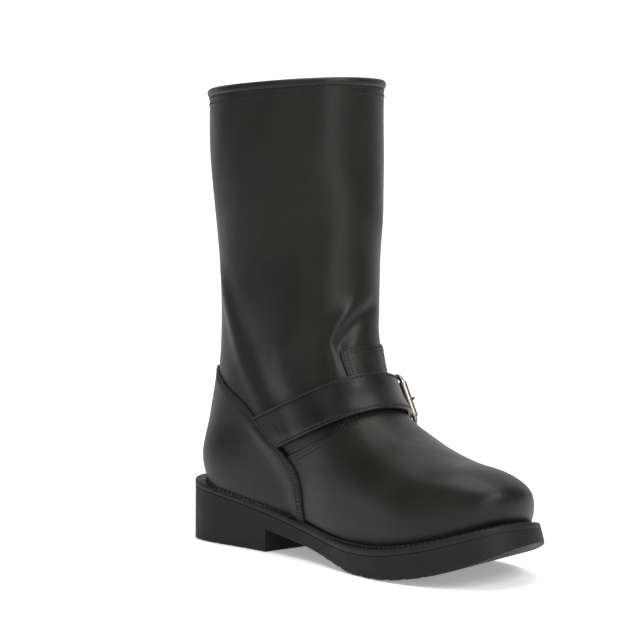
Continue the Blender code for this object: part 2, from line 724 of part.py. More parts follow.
def frame_axes():
    """The two bars' middles, and unit vectors along the buckle, across it and outwards."""
    front, rear = roller_axis()
    along = (rear - front) / np.linalg.norm(rear - front)
    middle = (ROLLER_ANGLE + BAR_ANGLE) / 2
    across = strap_surface(middle, STRAP_WIDTH / 2) - strap_surface(middle, -STRAP_WIDTH / 2)
    across = across - along * (across @ along)
    across /= np.linalg.norm(across)
    return front, rear, along, across, np.cross(across, -along)


def make_buckle(metal, leather):
    front, rear, along, across, out = frame_axes()
    middle, half_long = (front + rear) / 2, np.linalg.norm(rear - front) / 2
    half_wide = FRAME_WIDE / 2
    corners = [(1, 1), (-1, 1), (-1, -1), (1, -1)]
    rings = []
    for k, (u, v) in enumerate(corners):
        corner = np.array([u * (half_long - FRAME_CORNER), v * (half_wide - FRAME_CORNER)])
        for turn in np.radians(np.array([0, 30, 60, 90]) + 90 * k):
            way = np.array([math.cos(turn), math.sin(turn)])
            centre = corner + way * FRAME_CORNER
            outwards = way[0] * along + way[1] * across
            place = middle + centre[0] * along + centre[1] * across
            ring = [place + outwards * c[0] - out * c[1] for c in circle(FRAME_WIRE, 8)]
            rings.append(ring)
    frame = loft("buckle_frame", rings, metal, closed_way=True)

    rings = []
    for end, radius in ((-1, ROLLER_RADIUS), (1, ROLLER_RADIUS), (1, ROLLER_BORE), (-1, ROLLER_BORE)):
        turns = circle(radius, 12)
        rings.append([front + across * (end * ROLLER_LONG / 2) + along * c[0] - out * c[1] for c in turns])
    roller = loft("buckle_roller", rings, metal, closed_way=True)

    rest = ROLLER_RADIUS + GAP + PRONG_RADIUS
    stations = [
        (rear - along * 0.0042 + out * 0.0004, 1.25),
        (rear - along * 0.0075 + out * 0.0022, 1.1),
        (rear - along * 0.0115 + out * 0.0056, 1.0),
        (rear - along * 0.0160 + out * 0.0084, 1.0),
        (front + along * 0.0045 + out * rest * 1.15, 0.95),
        (front - along * 0.0005 + out * rest, 0.9),
        (front - along * 0.0036 + out * rest * 0.80, 0.6),
    ]
    rings = []
    for i, (place, size) in enumerate(stations):
        before, after = stations[max(i - 1, 0)][0], stations[min(i + 1, len(stations) - 1)][0]
        way = (after - before) / np.linalg.norm(after - before)
        raised = np.cross(way, across)
        rings.append([place + across * c[0] * size + raised * c[1] * size for c in circle(PRONG_RADIUS, 8)])
    prong = loft("buckle_prong", rings, metal)
    return frame, roller, prong


def chape_path():
    """The folded chape: out along its lower ply, round the bar, and back along the upper ply."""
    arc = arc_length(BAR_ANGLE)
    turn_radius = FRAME_WIRE + GAP + CHAPE_THICK / 2
    lower, upper = CHAPE_REST + CHAPE_THICK / 2, CHAPE_REST + CHAPE_THICK * 1.5 + GAP
    tail = (sewn_end(1)[0] - BAR_ANGLE) * arc - 0.0008
    path = [(tail, lower), (tail * 0.8, lower), (tail * 0.6, lower), (tail * 0.35, lower)]
    for degrees in (-62, -95, -130, -165, -200, -235, -270, -296):
        turn = math.radians(degrees)
        path.append((turn_radius * math.cos(turn), BAR_LIFT + turn_radius * math.sin(turn)))
    path += [(tail * 0.35, upper + 0.0006), (tail * 0.6, upper), (tail * 0.8, upper), (tail, upper)]
    return np.array(path), arc


def make_chape(leather):
    """The short folded strap that holds the buckle, its loop set square on the buckle's bar."""
    path, arc = chape_path()
    _, rear, along, across, out = frame_axes()
    ends = np.vstack([2 * path[0] - path[1], path, 2 * path[-1] - path[-2]])
    way = ends[2:] - ends[:-2]
    way /= np.linalg.norm(way, axis=1, keepdims=True)
    left = np.stack([-way[:, 1], way[:, 0]], -1) * CHAPE_THICK / 2
    half = STRAP_WIDTH / 2 - 0.001
    end_slant = sewn_end(1)[1]
    rings = []
    for place, side in zip(path, left):
        slant = -end_slant * float(smooth(0.6, 1.0, place[0] / path[0][0]))
        ring = []
        for v, sign in ((-half, -1), (half, -1), (half, 1), (-half, 1)):
            u, lift = place + side * sign
            if place[0] < LOOP_REACH:
                ring.append(rear + along * u + out * (lift - BAR_LIFT) + across * v)
            else:
                ring.append(strap_point(BAR_ANGLE + u / arc, np.array([v]), lift, slant)[0])
        rings.append(ring)
    return loft("buckle_chape", rings, leather)


def make_keeper(leather):
    """The loop that holds the strap's end down on the chape."""
    arc = arc_length(KEEPER_ANGLE)
    ends = KEEPER_ANGLE + np.array([-0.5, 0, 0.5]) * KEEPER_LONG / arc
    top = float(strap_lift(ends).max()) + STRAP_THICK + 2 * GAP
    low = 2 * GAP
    half = STRAP_WIDTH / 2 + 0.0006
    rings = []
    for u in (-0.5, 0.5):
        inner = [(-half, low + KEEPER_THICK), (half, low + KEEPER_THICK), (half, top), (-half, top)]
        t = KEEPER_THICK
        outer = [(-half - t, low), (half + t, low), (half + t, top + t), (-half - t, top + t)]
        for loop in (inner, outer):
            ring = []
            for across, lift in loop:
                angle = KEEPER_ANGLE + u * KEEPER_LONG / arc
                ring.append(strap_point(angle, np.array([across]), lift)[0])
            rings.append(ring)
    order = [rings[0], rings[1], rings[3], rings[2]]
    return loft("strap_keeper", order, leather, closed_way=True)


def clear():
    for thing in list(bpy.data.objects):
        bpy.data.objects.remove(thing, do_unlink=True)


def stand_on_origin():
    """Moves every piece so that the middle of the boot's box, seen from above, is at the origin."""
    pieces = [thing for thing in bpy.data.objects if not thing.hide_render]
    points = np.array([point.co for piece in pieces for point in piece.data.vertices])
    low, high = points.min(axis=0), points.max(axis=0)
    shift = (-(low[0] + high[0]) / 2, -(low[1] + high[1]) / 2, -low[2])
    for thing in bpy.data.objects:
        thing.location = shift


def main():
    clear()
    leather = material("black_leather", (0.020, 0.020, 0.018), 0.45)
    rubber = material("black_rubber", (0.028, 0.028, 0.027), 0.75)
    board = material("insole_leather", (0.30, 0.20, 0.12), 0.8)
    metal = material("buckle_steel", (0.62, 0.60, 0.56), 0.25, 1.0)
    angles = make_upper(leather)
    make_counter(leather)
    make_backstay(leather)
    make_collar(leather)
    make_welt(rubber, angles)
    make_outsole(rubber)
    make_insole(board)
    make_strap(leather)
    make_buckle(metal, leather)
    make_chape(leather)
    make_keeper(leather)
    stand_on_origin()


main()
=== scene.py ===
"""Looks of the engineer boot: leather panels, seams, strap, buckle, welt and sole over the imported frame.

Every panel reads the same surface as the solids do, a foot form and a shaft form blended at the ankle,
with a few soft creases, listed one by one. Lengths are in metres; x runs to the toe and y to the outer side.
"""

import math

import bpy
import numpy as np
from mathutils import Matrix


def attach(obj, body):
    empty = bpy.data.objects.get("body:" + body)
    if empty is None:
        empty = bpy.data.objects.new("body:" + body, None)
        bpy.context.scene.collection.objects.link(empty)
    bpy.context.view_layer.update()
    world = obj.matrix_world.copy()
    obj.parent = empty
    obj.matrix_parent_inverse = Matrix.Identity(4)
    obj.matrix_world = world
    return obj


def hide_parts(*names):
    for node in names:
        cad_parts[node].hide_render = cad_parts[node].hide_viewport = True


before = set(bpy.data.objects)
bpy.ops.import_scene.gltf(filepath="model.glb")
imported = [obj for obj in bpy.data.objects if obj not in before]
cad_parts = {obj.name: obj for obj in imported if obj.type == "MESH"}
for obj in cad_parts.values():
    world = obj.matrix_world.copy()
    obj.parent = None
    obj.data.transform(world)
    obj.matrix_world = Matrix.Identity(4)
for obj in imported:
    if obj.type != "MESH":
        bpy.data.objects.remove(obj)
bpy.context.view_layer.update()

# Leather thicknesses and clearances
WALL = 0.0026  # upper and its lining together
OUTER_DEPTH, LINING_DEPTH = 0.0013, 0.0014  # where the outer leather ends and the lining begins
VAMP_STEP = 0.0014  # how far the vamp and its tongue stand out from the shaft leather
OVERLAY = 0.0016  # counter and backstay leather
GAP = 0.0003  # clearance between pieces
OVERLAY_GAP = 0.0005  # the same along the welt, the insole and the sole's top
MARGIN_THICK = 0.0020  # turned-in edge of the upper under the insole

# Sole and welt
WELT_THICK = 0.0040
RIDGE_HEIGHT = 0.0013  # storm ridge of the welt, against the upper
RIDGE_WIDTH = 0.0018
GROOVE_DEPTH = 0.0006  # dip of the welt between its ridge and its outer lip
WHIP_PITCH = 0.0042  # between the whip stitches along the ridge
TOP_ROUND = 0.0005  # rounding of the sole's top edge, under the welt
BREAST_X = 0.0875  # front face of the heel block
BREAST_RAKE = 0.0006
LUG_FIRST, LUG_LAST = 0.150, 0.268  # x range of the cross lugs under the forefoot
LUG_PITCH, LUG_SLOT, LUG_DEPTH = 0.0118, 0.0034, 0.0028
LUG_FADE = 0.150  # the slots start here, shallow, in the arch
HEEL_SLOTS = (0.022, 0.036, 0.050, 0.064)
HEEL_SLOT_DEPTH = 0.0018

# Plan of the sole at the top of the welt
SOLE_LENGTH = 0.2910
SOLE_HEEL_X = -0.0055
SOLE_TOE_START, SOLE_TOE_POWER, SOLE_TOE_Y = 0.205, 2.15, -0.0065
SOLE_HEEL_START, SOLE_HEEL_POWER = 0.036, 2.7
#   x | inner half width | outer half width
SOLE = [
    (-0.010, 0.0385, 0.0380),
    (0.030, 0.0385, 0.0385),
    (0.080, 0.0370, 0.0405),
    (0.130, 0.0395, 0.0455),
    (0.190, 0.0530, 0.0550),
    (0.215, 0.0560, 0.0560),
    (0.240, 0.0560, 0.0560),
    (0.300, 0.0530, 0.0540),
]
#   x | height of the top of the welt
FEATHER = [
    (-0.005, 0.0425),
    (0.040, 0.0370),
    (0.080, 0.0313),
    (0.130, 0.0229),
    (0.165, 0.0187),
    (0.200, 0.0180),
    (0.250, 0.0262),
    (0.295, 0.0412),
]
#   x | height of the sole's underside, in front of the heel
UNDERSIDE = [
    (0.083, 0.0160),
    (0.130, 0.0082),
    (0.160, 0.0030),
    (0.178, 0.0000),
    (0.198, 0.0000),
    (0.212, 0.0010),
    (0.230, 0.0042),
    (0.260, 0.0130),
    (0.295, 0.0285),
]
TREAD_LINE = 0.20  # the toe spring starts earlier on the outer side, by this share of y
LEAN_FROM, LEAN_TO = 0.20, 0.25  # x over which the sole's wall comes to stand square to the toe spring

# Foot form: x | inner half | outer half | y of the ridge line | top height | fullness
FOOT = [
    (0.020, 0.026, 0.026, 0.000, 0.0800, 2.0),
    (0.080, 0.032, 0.0345, -0.002, 0.1155, 2.0),
    (0.120, 0.0345, 0.0405, -0.006, 0.1260, 2.0),
    (0.160, 0.043, 0.047, -0.009, 0.1030, 2.0),
    (0.200, 0.047, 0.049, -0.010, 0.0835, 2.05),
    (0.235, 0.048, 0.048, -0.009, 0.0755, 2.1),
    (0.260, 0.046, 0.048, -0.008, 0.0765, 2.2),
    (0.300, 0.042, 0.044, -0.008, 0.0770, 2.2),
]
WIDEST_ABOVE = 0.020  # the foot is widest this far above the welt
TOE_SINK, SINK_FROM, SINK_TO = 0.0075, 0.185, 0.245  # and lower by this at the toe, over these x
TUCK = 0.05  # share by which it narrows from there down to the welt
RIDGE_POWER = 1.7  # how late, with height, the middle moves over to the ridge line
TOP_EASE = 0.62  # share of the height over which the top's own rounding takes over
TOE_START, TOE_TIP, TOE_TIP_Y, TOE_ROUND = 0.206, 0.2865, -0.006, 2.2
HEEL_START, HEEL_END = 0.090, 0.016

# Shaft form: z | back x | widest x | front x | inner half | outer half | roundness
SHAFT = [
    (0.030, 0.0080, 0.045, 0.1100, 0.0340, 0.0340, 2.1),
    (0.055, 0.0012, 0.043, 0.1100, 0.0385, 0.0360, 2.1),
    (0.085, 0.0042, 0.050, 0.1120, 0.0365, 0.0365, 2.0),
    (0.125, 0.0110, 0.062, 0.1285, 0.0375, 0.0395, 1.9),
    (0.160, 0.0130, 0.066, 0.1370, 0.0385, 0.0475, 1.95),
    (0.210, 0.0110, 0.066, 0.1405, 0.0400, 0.0530, 2.0),
    (0.260, 0.0085, 0.066, 0.1390, 0.0445, 0.0555, 2.1),
    (0.330, 0.0075, 0.066, 0.1385, 0.0485, 0.0570, 2.1),
]
FOOT_HALF, SHAFT_HALF = 0.045, 0.048  # half widths by which the two forms are brought to metres
BLEND_BACK, BLEND_FRONT = 0.022, 0.060  # rounding between the two forms, at heel and instep
BLEND_FROM, BLEND_TO = 0.050, 0.120  # x over which the rounding grows
BLEND_LOW, BLEND_HIGH = 0.045, 0.085  # and z over which it does, so that the waist stays slim

# Rings of the surface: t | z at x = 0 | z at x = 0.3 | centre x | reach along x
RINGS = [
    (0.00, 0.0400, 0.0395, 0.145, 0.1415),
    (0.12, 0.0480, 0.0600, 0.145, 0.1415),
    (0.24, 0.0570, 0.0860, 0.135, 0.1330),
    (0.34, 0.0660, 0.1120, 0.115, 0.1100),
    (0.42, 0.0820, 0.1420, 0.090, 0.0850),
    (0.50, 0.1020, 0.1750, 0.075, 0.0650),
    (0.60, 0.1350, 0.1950, 0.070, 0.0600),
    (0.75, 0.2000, 0.2420, 0.072, 0.0640),
    (1.00, 0.3120, 0.3260, 0.072, 0.0660),
]
RING_SPAN = 0.300
RING_SIDE = 0.048
FADE_OUT = 0.34  # above this t the rings no longer follow the welt's curve
FARTHEST = 1.6  # the surface lies within this many reaches of the ring's centre

# Collar
COLLAR_T = 0.982  # top edge of the upper, under the collar's roll
ROLL_WIDTH, ROLL_HEIGHT = 0.0054, 0.0056
ROLL_SUNK, ROLL_POWER = 0.0007, 0.82  # its depth in the wall, and the squareness of its section

# Strap plane: tilted up towards the toe, through the ankle
STRAP_TILT = math.radians(22)
STRAP_LEVEL = 0.0405
STRAP_CENTRE_X = 0.085
STRAP_REACH, STRAP_SIDE = 0.07, 0.048  # half sizes of the ring that its angles are counted on
STRAP_WIDTH = 0.0265
STRAP_THICK = 0.0032
STRAP_REST = 0.0018  # from the boot to the strap's underside, over the hollow of the instep
VAMP_LEVEL, VAMP_DROP = 0.0300, 0.0102  # the vamp's top edge along the strap's up axis, lower at the sides
TONGUE_LEVEL = 0.0290  # where the tongue begins under the strap, along the same axis
TONGUE_HALF, TONGUE_TOP = 0.0202, 0.1405  # half width, and z of its top

# Front edge of the counter: t | angle from the toe, in degrees
COUNTER_FRONT = [
    (0.000, 101.0),
    (0.060, 101.5),
    (0.145, 102.5),
    (0.283, 103.5),
    (0.367, 106.0),
    (0.405, 108.0),
    (0.455, 114.0),
    (0.500, 128.0),
    (0.545, 151.0),
]
COUNTER_TOP = 0.545
BACKSTAY_LOW, BACKSTAY_HIGH = 0.0165, 0.0110  # half widths of the backstay

# Strap and buckle, by angle round the strap's plane from the toe, the buckle on the outer side
STRAP_TIP = math.radians(106)
TIP_REACH = 0.19  # angle over which the strap narrows to its point
STRAP_SEAM = 0.0020  # from its edge to the pressed line and the stitches in it
END_ROOM = math.radians(1.8)  # from the counter's edge to a sewn end
ROLLER_ANGLE, BAR_ANGLE, KEEPER_ANGLE = (math.radians(a) for a in (38, 64, 71.6))
FRAME_WIDE, FRAME_WIRE, FRAME_CORNER = 0.0355, 0.0017, 0.0045
ROLLER_RADIUS, ROLLER_BORE, ROLLER_LONG = 0.0028, 0.0020, 0.0250
ROLLER_EXTRA = 0.0014  # room for the strap's curve under the roller
BAR_LIFT = 0.0056  # the rear bar above the boot
RISE_OVER_BAR, FALL_TO_KEEPER, FALL_TO_TIP = 0.0084, 0.0041, 0.0012  # the strap's way past the buckle
CHAPE_THICK, CHAPE_REST = 0.0014, 0.0024
LOOP_REACH = 0.003  # this near the bar the chape is square to it, and beyond it follows the boot
KEEPER_THICK, KEEPER_LONG = 0.0013, 0.0065
PRONG_RADIUS = 0.0011
HOLE_RADIUS, HOLE_PITCH = 0.0016, 0.0125  # punched holes
HOLE_BACK = 0.0100  # from the bar to a hole, towards the toe


def curve(table, at, column):
    """Smooth reading of one column of a table against its first column."""
    rows = np.array(table, float)
    xs, ys = rows[:, 0], rows[:, column]
    slope = np.gradient(ys, xs)
    at = np.clip(at, xs[0], xs[-1])
    i = np.clip(np.searchsorted(xs, at, side="right") - 1, 0, len(xs) - 2)
    h = xs[i + 1] - xs[i]
    s = (at - xs[i]) / h
    ends = (1 + 2 * s) * (1 - s) ** 2 * ys[i] + s * s * (3 - 2 * s) * ys[i + 1]
    return ends + h * s * (1 - s) * ((1 - s) * slope[i] - s * slope[i + 1])


def smooth(low, high, x):
    s = np.clip((x - low) / (high - low), 0, 1)
    return s * s * (3 - 2 * s)


def foot_field(x, y, z):
    """Below 0 inside the foot form, and about 1 at twice its half width."""
    inner, outer, ridge, top, full = (curve(FOOT, x, c) for c in range(1, 6))
    above = WIDEST_ABOVE - TOE_SINK * smooth(SINK_FROM, SINK_TO, x)
    widest = curve(FEATHER, x, 1) + above
    toe = np.clip((x - TOE_START) / (TOE_TIP - TOE_START), 0, None)
    heel = np.clip((HEEL_START - x) / (HEEL_START - HEEL_END), 0, None)
    up = (z - widest) / (top - widest)
    middle = TOE_TIP_Y * np.clip(toe, 0, 1) ** 2 + ridge * np.clip(up, 0, 1.3) ** RIDGE_POWER
    side = np.abs(y - middle) / np.where(y < middle, inner, outer)
    plan = ((toe + heel) ** TOE_ROUND + side**TOE_ROUND) ** (1 / TOE_ROUND)
    depth = above / (1 - (1 - TUCK) ** full) ** (1 / full)
    rounding = smooth(0, TOP_EASE, up)
    over = up * (rounding + (1 - rounding) * np.minimum((top - widest) / depth, 1))
    height = np.where(up > 0, over, (widest - z) / depth)
    return (plan**full + np.abs(height) ** full) ** (1 / full) - 1


def shaft_field(x, y, z):
    back, middle, front, inner, outer, power = (curve(SHAFT, z, c) for c in range(1, 7))
    along = np.abs(x - middle) / np.where(x < middle, middle - back, front - middle)
    across = np.abs(y) / np.where(y < 0, inner, outer)
    return (along**power + across**power) ** (1 / power) - 1


def field(x, y, z):
    """Roughly the distance outside the boot's surface, below 0 inside it."""
    foot = foot_field(x, y, z) * FOOT_HALF
    shaft = shaft_field(x, y, z) * SHAFT_HALF
    growth = smooth(BLEND_FROM, BLEND_TO, x) * smooth(BLEND_LOW, BLEND_HIGH, z)
    k = BLEND_BACK + (BLEND_FRONT - BLEND_BACK) * growth
    h = np.clip(k - np.abs(foot - shaft), 0, None) / k
    return np.minimum(foot, shaft) - h * h * k / 4


def ring_height(t, x):
    low, high = curve(RINGS, t, 1), curve(RINGS, t, 2)
    flat = RINGS[0][1] + (RINGS[0][2] - RINGS[0][1]) * x / RING_SPAN
    follow = np.clip(1 - t / FADE_OUT, 0, 1) ** 1.5
    return low + (high - low) * x / RING_SPAN + (curve(FEATHER, x, 1) - flat) * follow


def outermost(path, test):
    """The point where each path leaves the form, found by halving."""
    near, far = path[1] * 0, path[1] * 0 + FARTHEST
    for _ in range(28):
        middle = (near + far) / 2
        inside = test(*path[0](middle)) < 0
        near, far = np.where(inside, middle, near), np.where(inside, far, middle)
    return np.stack(np.broadcast_arrays(*path[0]((near + far) / 2)), -1)


def surface(t, angle, lift=0.0):
    """Point of the boot's outside at ring t and angle from the toe, raised by lift."""
    t, angle, lift = np.broadcast_arrays(*(np.asarray(v, float) for v in (t, angle, lift)))
    centre, reach = curve(RINGS, t, 3), curve(RINGS, t, 4)

    def at(m):
        x = centre + m * reach * np.cos(angle)
        return x, m * RING_SIDE * np.sin(angle), ring_height(t, x) + lift

    return outermost((at, t), field)


def normals(points):
    """Unit outward directions at points on the surface."""
    x, y, z = np.moveaxis(points, -1, 0)
    e = 0.0004
    grad = np.stack(
        [
            field(x + e, y, z) - field(x - e, y, z),
            field(x, y + e, z) - field(x, y - e, z),
            field(x, y, z + e) - field(x, y, z - e),
        ],
        -1,
    )
    return grad / np.linalg.norm(grad, axis=-1, keepdims=True)


def strap_axes():
    along = np.array([math.cos(STRAP_TILT), 0, math.sin(STRAP_TILT)])
    up = np.array([-math.sin(STRAP_TILT), 0, math.cos(STRAP_TILT)])
    centre = np.array([STRAP_CENTRE_X, 0, (STRAP_LEVEL - STRAP_CENTRE_X * up[0]) / up[2]])
    return centre, along, up


def strap_surface(angle, across):
    """Point of the boot's outside in the strap's plane, moved across the strap."""
    centre, along, up = strap_axes()
    angle, across = np.broadcast_arrays(np.asarray(angle, float), np.asarray(across, float))
    origin = centre + across[..., None] * up
    way = np.cos(angle)[..., None] * along * STRAP_REACH
    way = way + np.sin(angle)[..., None] * np.array([0, STRAP_SIDE, 0])

    def at(m):
        return tuple(np.moveaxis(origin + m[..., None] * way, -1, 0))

    return outermost((at, angle), field)


def plan_field(x, y):
    inner, outer = curve(SOLE, x, 1), curve(SOLE, x, 2)
    toe = np.clip((x - SOLE_TOE_START) / (SOLE_LENGTH - SOLE_TOE_START), 0, None)
    heel = np.clip((SOLE_HEEL_START - x) / (SOLE_HEEL_START - SOLE_HEEL_X), 0, None)
    power = np.where(toe > 0, SOLE_TOE_POWER, SOLE_HEEL_POWER)
    middle = SOLE_TOE_Y * np.clip(toe, 0, 1) ** 2
    side = np.abs(y - middle) / np.where(y < middle, inner, outer)
    return ((toe + heel) ** power + side**power) ** (1 / power) - 1


def sole_edge(angle):
    """Outline of the sole, seen from above, at an angle from the toe."""
    angle = np.asarray(angle, float)
    centre, reach = RINGS[0][3], RINGS[0][4]

    def at(m):
        return centre + m * reach * np.cos(angle), m * RING_SIDE * np.sin(angle)

    return outermost((at, angle), plan_field)


def sole_half_widths(x):
    """The y of the inner and the outer edge of the sole at x."""
    toe = np.clip((x - SOLE_TOE_START) / (SOLE_LENGTH - SOLE_TOE_START), 0, 1)
    heel = np.clip((SOLE_HEEL_START - x) / (SOLE_HEEL_START - SOLE_HEEL_X), 0, 1)
    power = np.where(toe > 0, SOLE_TOE_POWER, SOLE_HEEL_POWER)
    share = (1 - (toe + heel) ** power) ** (1 / power)
    middle = SOLE_TOE_Y * toe**2
    return middle - curve(SOLE, x, 1) * share, middle + curve(SOLE, x, 2) * share


def lean(x, below):
    """How far a point that lies below the welt's top leans forward, square to the toe spring."""
    slope = (curve(FEATHER, x + 0.004, 1) - curve(FEATHER, x - 0.004, 1)) / 0.008
    return np.clip(slope, 0, None) * smooth(LEAN_FROM, LEAN_TO, x) * below


def level(directions):
    """Directions turned flat and made unit length again."""
    flat = directions * np.array([1, 1, 0])
    return flat / np.linalg.norm(flat, axis=-1, keepdims=True)


def on_welt(points, below):
    """Points moved to a depth below the top of the welt."""
    x, y = points[:, 0], points[:, 1]
    return np.stack([x, y, curve(FEATHER, x, 1) - below], -1)


def vamp_share(t, angle):
    """1 on the vamp, falling to 0 under the counter."""
    front = np.radians(curve(COUNTER_FRONT, t, 1))
    return 1 - smooth(front + 0.02, front + 0.10, np.abs(angle))


def underside(x, y):
    """Height of the tread at points of one cross line."""
    if x < BREAST_X:
        return y * 0
    oblique = x + y * TREAD_LINE * smooth(BREAST_X, LUG_FIRST, x)
    return np.maximum(curve(UNDERSIDE, oblique, 1), 0)


def strap_lift(angle):
    """Height of the strap's underside: over the tongue, up over the buckle's bar, down over the chape."""
    rest = STRAP_REST + VAMP_STEP * smooth(math.radians(-62), math.radians(-48), angle)
    over_bar = RISE_OVER_BAR * smooth(ROLLER_ANGLE + 0.06, BAR_ANGLE, angle)
    back_down = FALL_TO_KEEPER * smooth(BAR_ANGLE + 0.06, KEEPER_ANGLE, angle)
    return rest + over_bar - back_down - FALL_TO_TIP * smooth(KEEPER_ANGLE + 0.3, STRAP_TIP, angle)


def ring_place(point):
    """The t and the angle from the toe of a point on the surface."""
    low, high = 0.0, 1.0
    for _ in range(24):
        t = (low + high) / 2
        low, high = (t, high) if ring_height(t, point[0]) < point[2] else (low, t)
    angle = math.atan2(point[1] / RING_SIDE, (point[0] - curve(RINGS, t, 3)) / curve(RINGS, t, 4))
    return t, angle


def counter_edge(side, across):
    """The strap angle at which the counter's front edge crosses a line along the strap."""
    low, high = 0.8, 2.2  # radians, in front of the edge and behind it
    for _ in range(18):
        middle = (low + high) / 2
        t, angle = ring_place(strap_surface(side * middle, across))
        behind = abs(angle) > math.radians(float(curve(COUNTER_FRONT, t, 1)))
        low, high = (low, middle) if behind else (middle, high)
    return low


def sewn_end(side):
    """Angle and slant of an end that is sewn down along the counter's edge."""
    upper, lower = counter_edge(side, STRAP_WIDTH / 2), counter_edge(side, -STRAP_WIDTH / 2)
    return (upper + lower) / 2 - END_ROOM, (upper - lower) / 2


def arc_length(angle):
    """Metres along the strap for each radian, at an angle."""
    e = 0.01
    return float(np.linalg.norm(strap_surface(angle + e, 0.0) - strap_surface(angle - e, 0.0)) / (2 * e))


def squared(along, across):
    """The direction nearest to a second one that is square to the first, and the one outwards from both."""
    across = across - along * (across @ along)
    across /= np.linalg.norm(across)
    return across, np.cross(across, -along)


def raised(angle, lift):
    """A point above the middle line of the strap's path."""
    e = 0.02
    along = strap_surface(angle + e, 0.0) - strap_surface(angle - e, 0.0)
    out = squared(along / np.linalg.norm(along), strap_axes()[2])[1]
    return strap_surface(angle, 0.0) + out * lift


def circle(radius, sides):
    turn = np.linspace(0, 2 * math.pi, sides, endpoint=False)
    return np.stack([np.cos(turn), np.sin(turn)], -1) * radius


def frame_axes():
    """The middles of the front and rear bars, and unit vectors along the buckle, across and outwards."""
    lift = float(strap_lift(ROLLER_ANGLE)) + STRAP_THICK + GAP + ROLLER_RADIUS + ROLLER_EXTRA
    front, rear = raised(ROLLER_ANGLE, lift), raised(BAR_ANGLE, BAR_LIFT)
    along = (rear - front) / np.linalg.norm(rear - front)
    middle = (ROLLER_ANGLE + BAR_ANGLE) / 2
    across = strap_surface(middle, STRAP_WIDTH / 2) - strap_surface(middle, -STRAP_WIDTH / 2)
    return front, rear, along, *squared(along, across)


def chape_path():
    """The folded chape: out along its lower ply, round the bar, and back along the upper ply."""
    arc = arc_length(BAR_ANGLE)
    turn_radius = FRAME_WIRE + GAP + CHAPE_THICK / 2
    lower, upper = CHAPE_REST + CHAPE_THICK / 2, CHAPE_REST + CHAPE_THICK * 1.5 + GAP
    tail = (sewn_end(1)[0] - BAR_ANGLE) * arc - 0.0008
    path = [(tail, lower), (tail * 0.8, lower), (tail * 0.6, lower), (tail * 0.35, lower)]
    for degrees in (-62, -95, -130, -165, -200, -235, -270, -296):
        turn = math.radians(degrees)
        path.append((turn_radius * math.cos(turn), BAR_LIFT + turn_radius * math.sin(turn)))
    path += [(tail * 0.35, upper + 0.0006), (tail * 0.6, upper), (tail * 0.8, upper), (tail, upper)]
    return np.array(path), arc


# The solids stand with the middle of their box at the origin, and the surface is written from the heel
SHIFT = np.array([-0.145036, -0.001116, 0.0])

# Camera, fitted to the photograph
CAMERA_AZIMUTH, CAMERA_PAN, CAMERA_DOWN, CAMERA_ROLL = (math.radians(a) for a in (46.93, 1.21, 3.69, 0.18))
CAMERA_AWAY, CAMERA_HEIGHT, CAMERA_LENS = 1.5407, 0.2559, 131.9
CAMERA_TURNS_ROUND_X = 0.15

# Soft creases: points as ring t and angle in degrees | height | half width
CREASES = [
    ([(0.720, -134), (0.676, -124), (0.569, -103), (0.433, -97), (0.385, -97)], 0.0019, 0.0050),
    ([(0.620, -95), (0.520, -88), (0.448, -86), (0.385, -84)], -0.0020, 0.0080),
    ([(0.618, 16), (0.602, 8), (0.580, -5), (0.540, -16), (0.512, -22), (0.480, -24)], -0.0018, 0.0036),
    ([(0.620, -6), (0.575, -18), (0.530, -26), (0.480, -30), (0.430, -38)], 0.0018, 0.0036),
    ([(0.570, -32), (0.520, -35), (0.470, -42), (0.410, -52)], -0.0014, 0.0055),
    ([(0.560, -56), (0.480, -62), (0.400, -70)], 0.0008, 0.0060),
    ([(0.570, 20), (0.545, 29), (0.510, 36), (0.470, 40), (0.400, 46)], -0.0007, 0.0045),
    ([(0.610, 44), (0.540, 54), (0.460, 60), (0.390, 64)], 0.0009, 0.0060),
    ([(0.700, 132), (0.600, 110), (0.500, 98), (0.420, 94)], 0.0016, 0.0060),
    ([(0.620, 98), (0.540, 88), (0.440, 82), (0.380, 80)], -0.0020, 0.0085),
    ([(0.262, -36), (0.285, -18), (0.290, 0), (0.285, 18), (0.262, 36)], -0.0004, 0.0070),
]
# Broad unevenness of worn leather: wave length | height
UNEVEN = [(0.110, 0.00050), (0.062, 0.00030), (0.037, 0.00014)]

GRID_T, GRID_A = 300, 560
STITCH_PITCH, STITCH_LONG, STITCH_RADIUS = 0.0026, 0.0019, 0.00034
STITCH_SIDES = 6
# Shape of a stitch: share of its length | height and girth, in radii
STITCH = [
    (-0.50, -1.25, 0.45),
    (-0.38, -0.20, 0.85),
    (-0.18, 0.40, 1.00),
    (0.00, 0.55, 1.00),
    (0.18, 0.40, 1.00),
    (0.38, -0.20, 0.85),
    (0.50, -1.25, 0.45),
]
SEAM_DIP, SEAM_WIDTH = 0.00022, 0.0006  # how deep and wide a seam is pulled into the leather
RAW_EDGE = 0.25  # share of a panel's thickness that stands square at its edge
CREASE_MARKS = 70  # points along each crease


def unit(v):
    return v / np.linalg.norm(v, axis=-1, keepdims=True)


def smooth_line(points, count):
    """Points evenly spaced on a soft curve through the given ones."""
    points = np.asarray(points, float)
    along = np.linspace(0, 1, len(points))
    table = np.column_stack([along, points])
    fine = np.stack([curve(table, np.linspace(0, 1, count * 4), c + 1) for c in range(points.shape[1])], -1)
    reach = np.concatenate([[0], np.cumsum(np.linalg.norm(np.diff(fine, axis=0), axis=1))])
    at = np.linspace(0, reach[-1], count)
    return np.stack([np.interp(at, reach, fine[:, c]) for c in range(points.shape[1])], -1)


